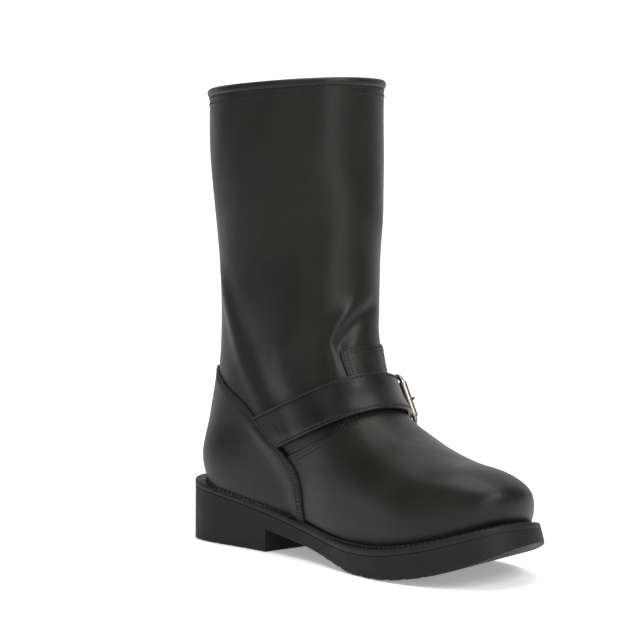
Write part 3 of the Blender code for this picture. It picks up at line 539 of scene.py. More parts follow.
def grid_normals(points):
    """Outward unit directions of a grid of points whose columns run round the boot."""
    across = np.gradient(points, axis=1)
    across[:, 0] = across[:, -1] = points[:, 1] - points[:, -2]
    up = np.gradient(points, axis=0)
    return unit(np.cross(across, up))


class Form:
    """The boot's outside on a fine grid of t and angle, read between its points."""

    def __init__(self):
        self.t = np.linspace(0, 1, GRID_T)
        self.a = np.linspace(-math.pi, math.pi, GRID_A + 1)
        points = surface(self.t[:, None], self.a[None, :])
        out = normals(points)
        lift = np.zeros(points.shape[:2])
        ends = np.linspace(0, 1, CREASE_MARKS)
        fade = np.minimum(1, 4.5 * np.minimum(ends + 0.02, 1.02 - ends))
        for marks, height, width in CREASES:
            marks = np.asarray(marks, float)
            line = smooth_line(surface(marks[:, 0], np.radians(marks[:, 1])), CREASE_MARKS)
            near = np.zeros(points.shape[:2])
            for mark, strength in zip(line, fade):
                away = ((points - mark) ** 2).sum(-1)
                near = np.maximum(near, strength * np.exp(-away / (2 * width * width)))
            lift += height * near
        turn = random.uniform(0, 2 * math.pi, (len(UNEVEN), 4, 4))
        rise = smooth(0.10, 0.30, self.t)[:, None]
        for (wave, height), phase in zip(UNEVEN, turn):
            for p in phase:
                way = unit(np.array([math.cos(p[0]), math.cos(p[1]), 0.8 * math.cos(p[2])]))
                lift += rise * height * 0.5 * np.sin(points @ way * 2 * math.pi / wave + p[3])
        self.points = points + out * lift[..., None]
        self.out = grid_normals(self.points)

    def read(self, grid, t, angle):
        t, angle = np.broadcast_arrays(np.asarray(t, float), np.asarray(angle, float))
        u = np.clip(t, 0, 1) * (GRID_T - 1)
        v = ((angle + math.pi) / (2 * math.pi)) % 1.0 * GRID_A
        i, j = np.minimum(u.astype(int), GRID_T - 2), np.minimum(v.astype(int), GRID_A - 1)
        s, r = (u - i)[..., None], (v - j)[..., None]
        low = grid[i, j] * (1 - r) + grid[i, j + 1] * r
        high = grid[i + 1, j] * (1 - r) + grid[i + 1, j + 1] * r
        return low * (1 - s) + high * s

    def at(self, t, angle, lift=0.0):
        lift = np.asarray(lift, float)
        return self.read(self.points, t, angle) + unit(self.read(self.out, t, angle)) * lift[..., None]

    def normal(self, t, angle):
        return unit(self.read(self.out, t, angle))

    def per_t(self, t, angle):
        """Metres along the surface for each unit of t."""
        return np.linalg.norm(self.at(t + 0.004, angle) - self.at(t - 0.004, angle), axis=-1) / 0.008

    def per_angle(self, t, angle):
        return np.linalg.norm(self.at(t, angle + 0.01) - self.at(t, angle - 0.01), axis=-1) / 0.02


def add_piece(name, points, faces, finish, replaces=(), sharp=50):
    mesh = bpy.data.meshes.new(name)
    points = np.asarray(points, float).reshape(-1, 3) + SHIFT
    mesh.from_pydata(points.tolist(), [], faces if isinstance(faces, list) else faces.tolist())
    mesh.validate()
    mesh.polygons.foreach_set("use_smooth", [True] * len(mesh.polygons))
    mesh.set_sharp_from_angle(angle=math.radians(sharp))
    mesh.materials.append(finish)
    piece = bpy.data.objects.new(name, mesh)
    bpy.context.scene.collection.objects.link(piece)
    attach(piece, "root")
    if replaces:
        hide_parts(*replaces)


def grid_faces(rows, columns, start=0, around=False, turned=False):
    r, c = np.meshgrid(np.arange(rows - 1), np.arange(columns if around else columns - 1), indexing="ij")
    d = (c + 1) % columns
    quads = np.stack([r * columns + c, r * columns + d, (r + 1) * columns + d, (r + 1) * columns + c], -1)
    quads = quads.reshape(-1, 4) + start
    return quads[:, ::-1] if turned else quads


def tube(name, rings, finish, replaces=(), closed_way=False, sharp=50):
    """A closed solid through rings of equal point count."""
    rings = np.asarray(rings, float)
    count, size = rings.shape[:2]
    if closed_way:
        rings = np.concatenate([rings, rings[:1]])
    quads = grid_faces(len(rings), size, around=True)
    if closed_way:
        quads = quads % (count * size)
        add_piece(name, rings[:-1], quads, finish, replaces, sharp)
        return
    faces = quads.tolist() + [list(range(size - 1, -1, -1)), [(count - 1) * size + a for a in range(size)]]
    add_piece(name, rings, faces, finish, replaces, sharp)


def shell(base, top):
    """Points and faces of a closed sheet between two grids."""
    rows, columns = base.shape[:2]
    n = rows * columns
    rim = [(0, c) for c in range(columns)] + [(r, columns - 1) for r in range(1, rows)]
    rim += [(rows - 1, c) for c in range(columns - 2, -1, -1)] + [(r, 0) for r in range(rows - 2, 0, -1)]
    rim = np.array([r * columns + c for r, c in rim])
    after = np.roll(rim, -1)
    sides = np.stack([rim, after, after + n, rim + n], -1)
    faces = np.concatenate([grid_faces(rows, columns, n), grid_faces(rows, columns, turned=True), sides])
    return np.concatenate([base.reshape(-1, 3), top.reshape(-1, 3)]), faces


def edged(inset, thick, round_over, seams):
    """Thickness of a sheet at distances from its edge: rounded over there, and dipped along its seams."""
    s = np.clip(inset / round_over, 0, 1)
    made = thick * (RAW_EDGE + (1 - RAW_EDGE) * np.sqrt(np.clip(1 - (1 - s) ** 2, 0, 1)))
    for seam in seams:
        made = made - SEAM_DIP * np.exp(-(((inset - seam) / SEAM_WIDTH) ** 2))
    return made


STITCHES = {}  # rows of stitches by the name of their thread


def stitch(line, out, finish, pitch=STITCH_PITCH, length=STITCH_LONG, radius=STITCH_RADIUS):
    """Lays a row of thread stitches along a line of points, each dipping into the leather at both ends."""
    line, out = np.asarray(line, float), np.asarray(out, float)
    reach = np.concatenate([[0], np.cumsum(np.linalg.norm(np.diff(line, axis=0), axis=1))])
    count = max(int(reach[-1] / pitch), 1)
    starts = (np.arange(count) + 0.5) * reach[-1] / count
    share, rise, girth = np.array(STITCH).T
    at = np.clip(starts[:, None] + share[None, :] * length, 0, reach[-1])
    centre = np.stack([np.interp(at, reach, line[:, k]) for k in range(3)], -1)
    normal = unit(np.stack([np.interp(at, reach, out[:, k]) for k in range(3)], -1))
    side = unit(np.cross(unit(centre[:, -1:] - centre[:, :1]), normal))
    centre = centre + normal * (rise * radius)[None, :, None]
    turn = np.linspace(0, 2 * math.pi, STITCH_SIDES, endpoint=False)
    rings = centre[:, :, None] + (radius * girth)[None, :, None, None] * (
        side[:, :, None] * np.cos(turn)[None, None, :, None] * 1.15
        + normal[:, :, None] * np.sin(turn)[None, None, :, None]
    )
    STITCHES.setdefault(finish.name, []).append(rings.reshape(count, -1, 3))


def sew(name, finish):
    """Joins all the stitches of one thread into one piece."""
    rings = np.concatenate(STITCHES.pop(finish.name))
    size = rings.shape[1]
    body = grid_faces(len(STITCH), STITCH_SIDES, around=True)
    caps = np.array([[5, 4, 3, 2], [5, 2, 1, 0], [36, 37, 38, 39], [36, 39, 40, 41]])
    one = np.concatenate([body, caps])
    faces = (one[None] + (np.arange(len(rings)) * size)[:, None, None]).reshape(-1, 4)
    add_piece(name, rings.reshape(-1, 3), faces, finish, sharp=180)


# Materials

GRAIN_CELL = 2100  # pebbles of the leather's grain, for each metre
DIELECTRIC = 0.22  # shine of leather and rubber seen from straight above


class Shading:
    """The nodes of one new material, placed by the object's own coordinates."""

    def __init__(self, name):
        self.made = bpy.data.materials.new(name)
        self.made.use_nodes = True
        self.nodes, self.link = self.made.node_tree.nodes, self.made.node_tree.links.new
        self.shader = self.nodes["Principled BSDF"]
        self.place = self.add("ShaderNodeTexCoord").outputs["Object"]

    def add(self, kind, **values):
        node = self.nodes.new(kind)
        for key, value in values.items():
            if hasattr(node, key):
                setattr(node, key, value)
            else:
                node.inputs[key.replace("_", " ")].default_value = value
        return node

    def noise(self, scale, detail=3.0, rough=0.6):
        made = self.add("ShaderNodeTexNoise", Scale=scale, Detail=detail, Roughness=rough)
        self.link(self.place, made.inputs["Vector"])
        return made.outputs["Fac"]

    def ranged(self, source, low, high, start=0.3, stop=0.7):
        made = self.add("ShaderNodeMapRange", From_Min=start, From_Max=stop, To_Min=low, To_Max=high)
        self.link(source, made.inputs["Value"])
        return made.outputs["Result"]

    def colour(self, source, first, second, start=0.3, stop=0.7):
        """Mixes the base colour out of two by a source."""
        factor = self.ranged(source, 0.0, 1.0, start, stop)
        made = self.add("ShaderNodeMix", data_type="RGBA")
        self.link(factor, made.inputs["Factor"])
        made.inputs["A"].default_value = (*first, 1)
        made.inputs["B"].default_value = (*second, 1)
        self.link(made.outputs["Result"], self.shader.inputs["Base Color"])

    def rough(self, source, low, high):
        self.link(self.ranged(source, low, high), self.shader.inputs["Roughness"])

    def bump(self, height, strength, distance, under=None):
        """Lays a bump over another one, as the normal of the surface."""
        made = self.add("ShaderNodeBump", Strength=strength, Distance=distance)
        self.link(height, made.inputs["Height"])
        if under is not None:
            self.link(under, made.inputs["Normal"])
        self.link(made.outputs["Normal"], self.shader.inputs["Normal"])
        return made.outputs["Normal"]

    def finished(self, **values):
        for key, value in values.items():
            self.shader.inputs[key.replace("_", " ")].default_value = value
        return self.made


def leather(name, dark, light, shine, grain=0.30, coat=0.03):
    """Oiled full-grain leather: pebbled grain, faint clouds in colour and shine, and fine scuffs."""
    made = Shading(name)
    clouds, fine = made.noise(26.0, 4.0, 0.55), made.noise(900.0)
    tone = made.add("ShaderNodeMath", operation="MULTIPLY_ADD")
    made.link(fine, tone.inputs[0])
    tone.inputs[1].default_value = 0.35
    made.link(clouds, tone.inputs[2])
    made.colour(tone.outputs[0], dark, light, 0.45, 0.9)
    made.rough(clouds, shine - 0.05, shine + 0.07)
    cells = made.add("ShaderNodeTexVoronoi", feature="SMOOTH_F1", Scale=GRAIN_CELL, Smoothness=0.6)
    made.link(made.place, cells.inputs["Vector"])
    height = made.add("ShaderNodeMath", operation="ADD")
    made.link(cells.outputs["Distance"], height.inputs[0])
    made.link(made.noise(GRAIN_CELL * 0.45), height.inputs[1])
    pebbles = made.bump(height.outputs[0], grain, 0.00012)
    made.bump(made.noise(120.0, 3.0, 0.5), 0.32, 0.0007, pebbles)
    return made.finished(Specular_IOR_Level=DIELECTRIC, Coat_Weight=coat, Coat_Roughness=0.32)


def rubber(name, dark, light, shine=0.62):
    """Moulded rubber with a fine matt texture and a little dust."""
    made = Shading(name)
    dust = made.noise(60.0, 5.0, 0.65)
    made.colour(dust, dark, light)
    made.rough(dust, shine - 0.06, shine + 0.10)
    pits = made.bump(made.noise(2600.0, 2.0), 0.22, 0.0001)
    made.bump(made.noise(300.0), 0.12, 0.0003, pits)
    return made.finished(Specular_IOR_Level=DIELECTRIC)


def metal(name, colour, shine):
    """Plated steel, a little worn."""
    made = Shading(name)
    wear = made.noise(240.0, 4.0)
    made.colour(wear, colour, [c * 0.8 for c in colour])
    made.rough(wear, shine, shine + 0.14)
    made.bump(made.noise(1500.0), 0.10, 0.00008)
    return made.finished(Metallic=1.0)


def woven(name, dark, light, scale):
    """Thread, hide, or the napped inside of the leather."""
    made = Shading(name)
    nap = made.noise(scale, 4.0, 0.7)
    made.colour(nap, dark, light)
    made.bump(nap, 0.35, 0.00015)
    return made.finished(Roughness=0.8)


# Panels of the upper

# Distances from a panel's edge at which it has rows of points, close together over its rounding
NEAR_EDGE = np.array(
    [0, 0.10, 0.30, 0.60, 1.0, 1.5, 2.0, 2.5, 3.0, 3.6, 4.2, 4.8, 5.4, 6.2, 7.4, 9.0, 11.0]
) / 1000
VAMP_SEAMS, COUNTER_SEAMS = (0.0020, 0.0046), (0.0020, 0.0046, 0.0070)
TONGUE_SEAMS, BACKSTAY_SEAMS = (0.0018, 0.0042), (0.0016, 0.0040)
TONGUE_SPREAD = 9.0  # share by which the tongue widens for each metre down
TONGUE_CORNER = 0.007  # rounding of its two corners
PER_T = 0.24  # metres for each unit of t about the ankle
SINK = 0.0001  # depth of the stitches in their seam
# Room that keeps each panel's underside clear of the leather below it
VAMP_ROOM, TONGUE_ROOM, COUNTER_ROOM, BACKSTAY_ROOM = 0.00005, 0.00004, 0.00008, 0.00006


def t_at(form, angle, test, low=0.0, high=0.75):
    """The t at which a rising measure of the surface point reaches 0, found by halving."""
    low, high = np.full(np.shape(angle), low), np.full(np.shape(angle), high)
    for _ in range(24):
        middle = (low + high) / 2
        below = test(form.at(middle, angle)) < 0
        low, high = np.where(below, middle, low), np.where(below, high, middle)
    return (low + high) / 2


def panel(name, form, t, angle, inset, base, thick, finish, seams, round_over=0.0009, replaces=()):
    """A leather piece over the form, by the distance of its points from its edge."""
    top = form.at(t, angle, base + edged(inset, thick, round_over, seams))
    low = form.at(t, angle, np.broadcast_to(base, t.shape))
    points, faces = shell(low, top)
    add_piece(name, points, faces, finish, replaces, 60)


def run(form, t, angle, lift):
    """Points and outward directions for a row of stitches."""
    return form.at(t, angle, lift), form.normal(t, angle)


def make_shaft(form, finish, inside):
    """The body of the upper with its lining inside."""
    angle = np.linspace(-math.pi, math.pi, 340, endpoint=False)[None, :]
    t = np.concatenate([np.linspace(0.0, 0.30, 36), np.linspace(0.30, COLLAR_T, 160)[1:]])[:, None]
    rows = [*form.at(t, angle), *form.at(t[::-4], angle, -OUTER_DEPTH)]
    tube("upper_leather", rows, finish, ("upper",), closed_way=True)
    t = np.concatenate([np.linspace(0.015, 0.30, 24), np.linspace(0.30, COLLAR_T, 90)[1:]])[:, None]
    rows = [*form.at(t[::4], angle[:, ::2], -LINING_DEPTH), *form.at(t, angle[:, ::2], -WALL)[::-1]]
    tube("lining", rows, inside, (), closed_way=True)


def vamp_level(angle):
    """Where the vamp's top edge lies along the strap's up axis: lower at the sides."""
    away = np.abs((angle + math.pi) % (2 * math.pi) - math.pi)
    return VAMP_LEVEL - VAMP_DROP * smooth(math.radians(47), math.radians(72), away)


def make_vamp(form, finish, thread):
    """The foot's leather, double stitched along its top edge."""
    up = strap_axes()[2]
    share = np.linspace(-1, 1, 300)[None, :]
    rough = share[0] * math.radians(105)

    def edge_at(angle):
        return t_at(form, angle, lambda p: p @ up - vamp_level(angle))

    edge = edge_at(rough)
    near = NEAR_EDGE[:, None] / form.per_t(edge, rough)[None, :]
    down = np.linspace(0, 1, 90)[1:, None]
    t = np.concatenate([edge - near, (edge - near[-1]) * (1 - down)])[::-1]
    angle = share * (np.radians(curve(COUNTER_FRONT, t, 1)) + 0.07)
    inset = (edge[None, :] - t) * form.per_t(np.broadcast_to(edge, t.shape), angle)
    panel("vamp", form, t, angle, inset, VAMP_ROOM, VAMP_STEP, finish, VAMP_SEAMS)
    # three short tacks at each side, running up to the edge
    for side in (-1, 1):
        for step in range(3):
            turn = np.full(7, side * math.radians(50 + 2.2 * step))
            at = edge_at(turn) + np.linspace(-0.0055, -0.0005, 7) / PER_T
            stitch(*run(form, at, turn, VAMP_STEP + 0.0002), thread, 0.0014, 0.0012, 0.0003)
    for side in (-1, 1):
        pick = (side * rough > math.radians(44)) & (side * rough < math.radians(103))
        for seam in VAMP_SEAMS:
            at = edge[pick] - seam / form.per_t(edge[pick], rough[pick])
            stitch(*run(form, at, rough[pick], VAMP_STEP - SINK), thread)


def make_tongue(form, finish, thread):
    """The tongue above the strap, with rounded corners and two rows of stitches."""
    up, half, corner = strap_axes()[2], TONGUE_HALF, TONGUE_CORNER
    columns = np.concatenate([NEAR_EDGE[:14], [0.009, 0.0115, 0.0145]])
    y = np.concatenate([-half + columns, (half - columns)[::-1]])
    inset_y = np.concatenate([columns, columns[::-1]])
    side = np.arcsin(np.clip(y / 0.046, -1, 1))
    for _ in range(12):
        side = side + (y - form.at(0.47, side)[:, 1]) / 0.05
    drop = corner - np.sqrt(np.clip(corner**2 - np.clip(corner - inset_y, 0, corner) ** 2, 0, None))
    top = t_at(form, side, lambda p: p[..., 2] - TONGUE_TOP + drop * 0.95, 0.3, 0.7)
    low = t_at(form, side, lambda p: p @ up - TONGUE_LEVEL, 0.1, 0.6)
    depth = np.concatenate([NEAR_EDGE, np.linspace(0.013, 0.034, 14)])
    per = form.per_t(top, side)
    t = np.array([np.maximum(top - d / per, low) for d in depth[::-1]])
    t[0] = low
    inset_t = np.maximum((top[None, :] - t) * per[None, :], 0)
    inset = np.minimum(inset_t, np.broadcast_to(inset_y, t.shape))
    angle = side * (1 + TONGUE_SPREAD * inset_t)
    panel("tongue", form, t, angle, inset, TONGUE_ROOM, VAMP_STEP, finish, TONGUE_SEAMS)
    for seam in TONGUE_SEAMS:
        left = [(-half + seam, d) for d in np.linspace(0.030, corner, 30)]
        for turn in np.linspace(0, math.pi / 2, 10):
            reach = corner - seam
            left.append((-half + corner - reach * math.cos(turn), corner - reach * math.sin(turn)))
        middle = [(s, seam) for s in np.linspace(-half + corner, half - corner, 20)]
        marks = np.array(left + middle + [(-x, d) for x, d in left[::-1]])
        a = np.interp(marks[:, 0], y, side)
        at = t_at(form, a, lambda p: p[..., 2] - TONGUE_TOP, 0.3, 0.7)
        at = at - marks[:, 1] / form.per_t(at, a)
        a = a * (1 + TONGUE_SPREAD * marks[:, 1])
        stitch(*run(form, at, a, VAMP_STEP - SINK), thread)


def make_counter(form, finish, thread):
    """The heel counter with a folded edge and three rows of stitches along it."""

    def rest(t, behind):
        """Height of its underside, raised over the vamp by the angle behind its front edge."""
        return COUNTER_ROOM + VAMP_STEP * (1 - smooth(0.07, 0.20, behind)) * (1 - smooth(0.30, 0.42, t))

    low_rows = np.linspace(0, COUNTER_TOP - NEAR_EDGE[-1] / PER_T, 130)[:-1]
    t = np.concatenate([low_rows, COUNTER_TOP - NEAR_EDGE[::-1] / PER_T])
    front = np.radians(curve(COUNTER_FRONT, t, 1))
    near = NEAR_EDGE[None, :] / form.per_angle(t, front)[:, None]
    side = front[:, None] + near
    last = side[:, -1]
    middle = last[:, None] + (2 * math.pi - 2 * last)[:, None] * np.linspace(0, 1, 90)[None, 1:-1]
    angle = np.concatenate([side, middle, 2 * math.pi - side[:, ::-1]], 1)
    across = np.minimum(angle - front[:, None], 2 * math.pi - front[:, None] - angle)
    grid_t = np.broadcast_to(t[:, None], angle.shape)
    below_top = ((COUNTER_TOP - t) * PER_T)[:, None] + 0.0001
    inset = np.minimum(across * form.per_angle(grid_t, angle), below_top)
    panel("counter", form, grid_t, angle, inset, rest(grid_t, across), OVERLAY, finish,
          COUNTER_SEAMS, 0.0012, ("heel_counter",))
    for sign in (-1, 1):
        for seam in COUNTER_SEAMS:
            at = np.linspace(0.012, COUNTER_TOP - seam / PER_T, 240)
            edge = np.radians(curve(COUNTER_FRONT, at, 1))
            behind = seam / form.per_angle(at, edge)
            lift = rest(at, behind) + OVERLAY - SINK
            stitch(*run(form, at, sign * (edge + behind), lift), thread)


def make_backstay(form, finish, thread):
    """The strip over the back seam, stitched down both sides."""

    def half_width(t):
        return BACKSTAY_LOW + (BACKSTAY_HIGH - BACKSTAY_LOW) * smooth(COUNTER_TOP, 0.75, t)

    t = np.linspace(COUNTER_TOP + 0.003, COLLAR_T - 0.0008, 200)[:, None]
    half = half_width(t)
    near = NEAR_EDGE[:13]
    left = near[None, :] + 0 * t
    middle = near[-1] + (2 * half - 2 * near[-1]) * np.linspace(0, 1, 12)[None, 1:-1]
    across = np.concatenate([left, middle, 2 * half - left[:, ::-1]], 1)
    angle = math.pi + (across - half) / form.per_angle(t[:, 0], np.full(len(t), math.pi))[:, None]
    grid_t = np.broadcast_to(t, angle.shape)
    inset = np.minimum(across, 2 * half - across)
    panel("backstay_strip", form, grid_t, angle, inset, BACKSTAY_ROOM, OVERLAY, finish,
          BACKSTAY_SEAMS, 0.0009, ("backstay",))
    at = np.linspace(COUNTER_TOP + 0.006, COLLAR_T - 0.004, 200)
    for sign in (-1, 1):
        for seam in BACKSTAY_SEAMS:
            a = math.pi + sign * (half_width(at) - seam) / form.per_angle(at, np.full(len(at), math.pi))
            stitch(*run(form, at, a, OVERLAY - SINK / 2), thread)


def make_collar(form, finish, thread):
    """The rolled collar, with stitches close under it and a second row below."""
    angles = np.linspace(-math.pi, math.pi, 480, endpoint=False)
    out = level(form.normal(COLLAR_T, angles))
    middle = form.at(COLLAR_T, angles) - out * WALL / 2 - np.array([0, 0, ROLL_SUNK])
    turn = np.linspace(0, 2 * math.pi, 20, endpoint=False)
    wide = np.sign(np.cos(turn)) * np.abs(np.cos(turn)) ** ROLL_POWER * ROLL_WIDTH / 2
    high = (1 + np.sign(np.sin(turn)) * np.abs(np.sin(turn)) ** ROLL_POWER) * ROLL_HEIGHT / 2
    ripple = 1 + 0.02 * np.sin(angles * 37) * np.sin(angles * 11 + 1)
    rows = [middle + out * (w * ripple)[:, None] + np.array([0, 0, h]) for w, h in zip(wide, high)]
    tube("collar_roll", rows, finish, ("collar_binding",), closed_way=True)
    ring = np.append(angles, angles[0])
    per = form.per_t(0.97, ring)
    for below in (0.0014, 0.0056):
        stitch(*run(form, COLLAR_T - below / per, ring, 0.0), thread)


# Sole, welt and insole


def make_welt(finish, thread):
    """The storm welt: a ledge with a rounded lip, a groove, and a ridge against the upper."""
    angles = np.linspace(-math.pi, math.pi, 720, endpoint=False)
    edge = sole_edge(angles)
    foot = surface(0, angles)
    raised = surface(0, angles, RIDGE_HEIGHT)
    flat = level(normals(foot))
    room = (VAMP_STEP * vamp_share(0, angles) + OVERLAY_GAP * 0.4)[:, None]

    def rim(inset, below):
        x, y = edge[:, 0] - flat[:, 0] * inset, edge[:, 1] - flat[:, 1] * inset
        return np.stack([x + lean(x, below), y, curve(FEATHER, x, 1) - below], -1)

    def beside_ridge(away, below):
        return on_welt(foot + flat * (room + RIDGE_WIDTH + away), below)

    lip = [(0.0002, WELT_THICK), (0, WELT_THICK - 0.0003), (0, 0.0009), (0.0002, 0.0004), (0.0006, 0.00008)]
    outer, inner = rim(0.0011, 0), foot + flat * (room + RIDGE_WIDTH)
    rings = [on_welt(foot + flat * room, WELT_THICK)] + [rim(*place) for place in lip] + [outer]
    rings += [on_welt(outer * (1 - s) + inner * s, 0.0001 + 0.0002 * s) for s in (0.35, 0.65, 0.85)]
    rings += [beside_ridge(0.0007, GROOVE_DEPTH * 0.8), beside_ridge(0.0002, GROOVE_DEPTH)]
    reach = np.cumsum(np.linalg.norm(foot - np.roll(foot, 1, 0), axis=1))
    whip = 1 + 0.16 * np.abs(np.sin(math.pi * reach / WHIP_PITCH)) ** 0.7
    for step in np.linspace(0, 1, 7):
        rise = RIDGE_HEIGHT * math.sin(math.pi * (0.12 + 0.76 * step)) ** 0.6 * (whip - 0.12)
        rings.append(on_welt(raised + flat * (room + RIDGE_WIDTH * (0.95 - 0.95 * step)), -rise))
    tube("storm_welt", rings, finish, ("welt",), closed_way=True)
    ring = np.append(np.arange(len(angles)), 0)
    # whip stitches in the groove beside the ridge; their extra dark thread paints the groove's shade
    line = beside_ridge(0.0003, -0.0001)[ring]
    up = np.broadcast_to(np.array([0, 0, 1.0]), line.shape)
    stitch(line, up, thread, WHIP_PITCH, 0.0037, 0.00085)


def make_outsole(finish):
    """The sole in one moulding, with slots across the tread and bevelled edges."""
    wall = 0.0003  # slope of a slot's walls
    ends = 0.0002 * 1.42 ** np.arange(0, 15)
    stations = [SOLE_HEEL_X + d for d in ends] + list(np.arange(0.024, SOLE_LENGTH - 0.03, 0.0035))
    rows = [(x, 0.0) for x in stations + [SOLE_LENGTH - d for d in ends]]
    marks = [(x, HEEL_SLOT_DEPTH) for x in HEEL_SLOTS]
    x = LUG_FIRST
    while x < LUG_LAST:
        marks.append((x, LUG_DEPTH * float(smooth(LUG_FADE - 0.01, LUG_FADE + 0.02, x))))
        x += LUG_PITCH
    for x, depth in marks:
        rows = [r for r in rows if not x - wall < r[0] < x + LUG_SLOT + wall]
        rows += [(x - wall, 0.0), (x, depth), (x + LUG_SLOT, depth), (x + LUG_SLOT + wall, 0.0)]
    rows = [r for r in rows if not BREAST_X - 0.003 < r[0] < BREAST_X + 0.002]
    rows += [(BREAST_X - BREAST_RAKE, 0.0), (BREAST_X, 0.0)]
    rows.sort()
    # the underside from the inner to the outer edge: share of the width | share of the slot's depth | bevel
    share = np.array([0, 0.008, 0.06, 0.35, 0.65, 0.94, 0.992, 1])
    cut = np.array([0, 0.13, 1, 1, 1, 1, 0.13, 0])
    bevel = np.array([0.0008, 0, 0, 0, 0, 0, 0, 0.0008])
    rings = []
    for x, depth in rows:
        inner, outer = (float(v) for v in sole_half_widths(np.array(x)))
        y = inner + (outer - inner) * share
        welt = float(curve(FEATHER, x, 1))
        top = welt - WELT_THICK - OVERLAY_GAP * 0.3
        under = underside(x, y) + depth * cut + bevel
        lower = np.stack([x + lean(x, welt - under), y, under], -1)
        walls = []
        for end, shares in ((-1, (0.85, 0.5, 0.15, 0)), (0, (0, 0.15, 0.5, 0.85))):
            heights = [under[end] + (top - TOP_ROUND - under[end]) * (1 - s) for s in shares]
            walls.append([(x + float(lean(x, welt - z)), y[end], z) for z in heights])
        lean_top = float(lean(x, welt - top))
        pull = 0.0004 * np.sign(outer - inner)
        crown = [(x + lean_top, y[-1] - pull, top), (x + lean_top, y[0] + pull, top)]
        rings.append(np.concatenate([lower, walls[0], crown, walls[1]]))
    tube("sole_moulding", rings, finish, ("outsole",), sharp=32)


def make_insole(finish):
    """The insole, a little dished under the heel and worn at its rim."""
    angle = np.linspace(-math.pi, math.pi, 180, endpoint=False)
    rim = surface(0, angle)
    rim = rim - level(normals(rim)) * (WALL + OVERLAY_GAP)
    centre = np.stack([np.clip(rim[:, 0], 0.035, 0.245), rim[:, 1] * 0], -1)
    # share of the way in from the rim | height above the turned-in edge
    rings = [(0.02, 0.0), (0, 0.0003), (0, 0.0024), (0.006, 0.0029), (0.03, 0.0030)]
    rings += [(s, 0.0030) for s in np.linspace(0.1, 0.985, 22)]
    rows = []
    for inset, high in rings:
        flat = rim[:, :2] * (1 - inset) + centre * inset
        base = curve(FEATHER, flat[:, 0], 1) - WELT_THICK + MARGIN_THICK + GAP
        dish = -0.0008 * smooth(0.0, 0.8, inset) * (1 - smooth(0.05, 0.10, flat[:, 0]))
        rows.append(np.stack([flat[:, 0], flat[:, 1], base + high + dish], -1))
    tube("insole_board", rows, finish, ("insole",), sharp=60)


# Strap and buckle


def above_boot(angle, across, lift, slant=0.0):
    """Points at places across the strap, at a height above the boot, with the outward directions.

    The strap stays nearly flat: where the boot falls away from its middle line, half of that counts.
    """
    points = strap_surface(angle - slant * across / (STRAP_WIDTH / 2), across)
    middle = strap_surface(angle, np.zeros_like(angle))
    out = normals(middle)
    dip = np.minimum(((points - middle) * out).sum(-1), 0)
    return points - out * (dip * 0.5)[..., None] + out * lift[..., None], out


def strap_grid(angle, across, lift, slant):
    """Points for each angle by each place across the strap, and one outward direction for each angle."""
    points, out = above_boot(angle[:, None], across, lift, slant[:, None])
    return points, out[:, 0]


def rounded_off(inset, radius):
    """How far a round edge falls at distances from it."""
    return radius * (1 - np.sqrt(np.clip(1 - (1 - np.clip(inset / radius, 0, 1)) ** 2, 0, 1)))


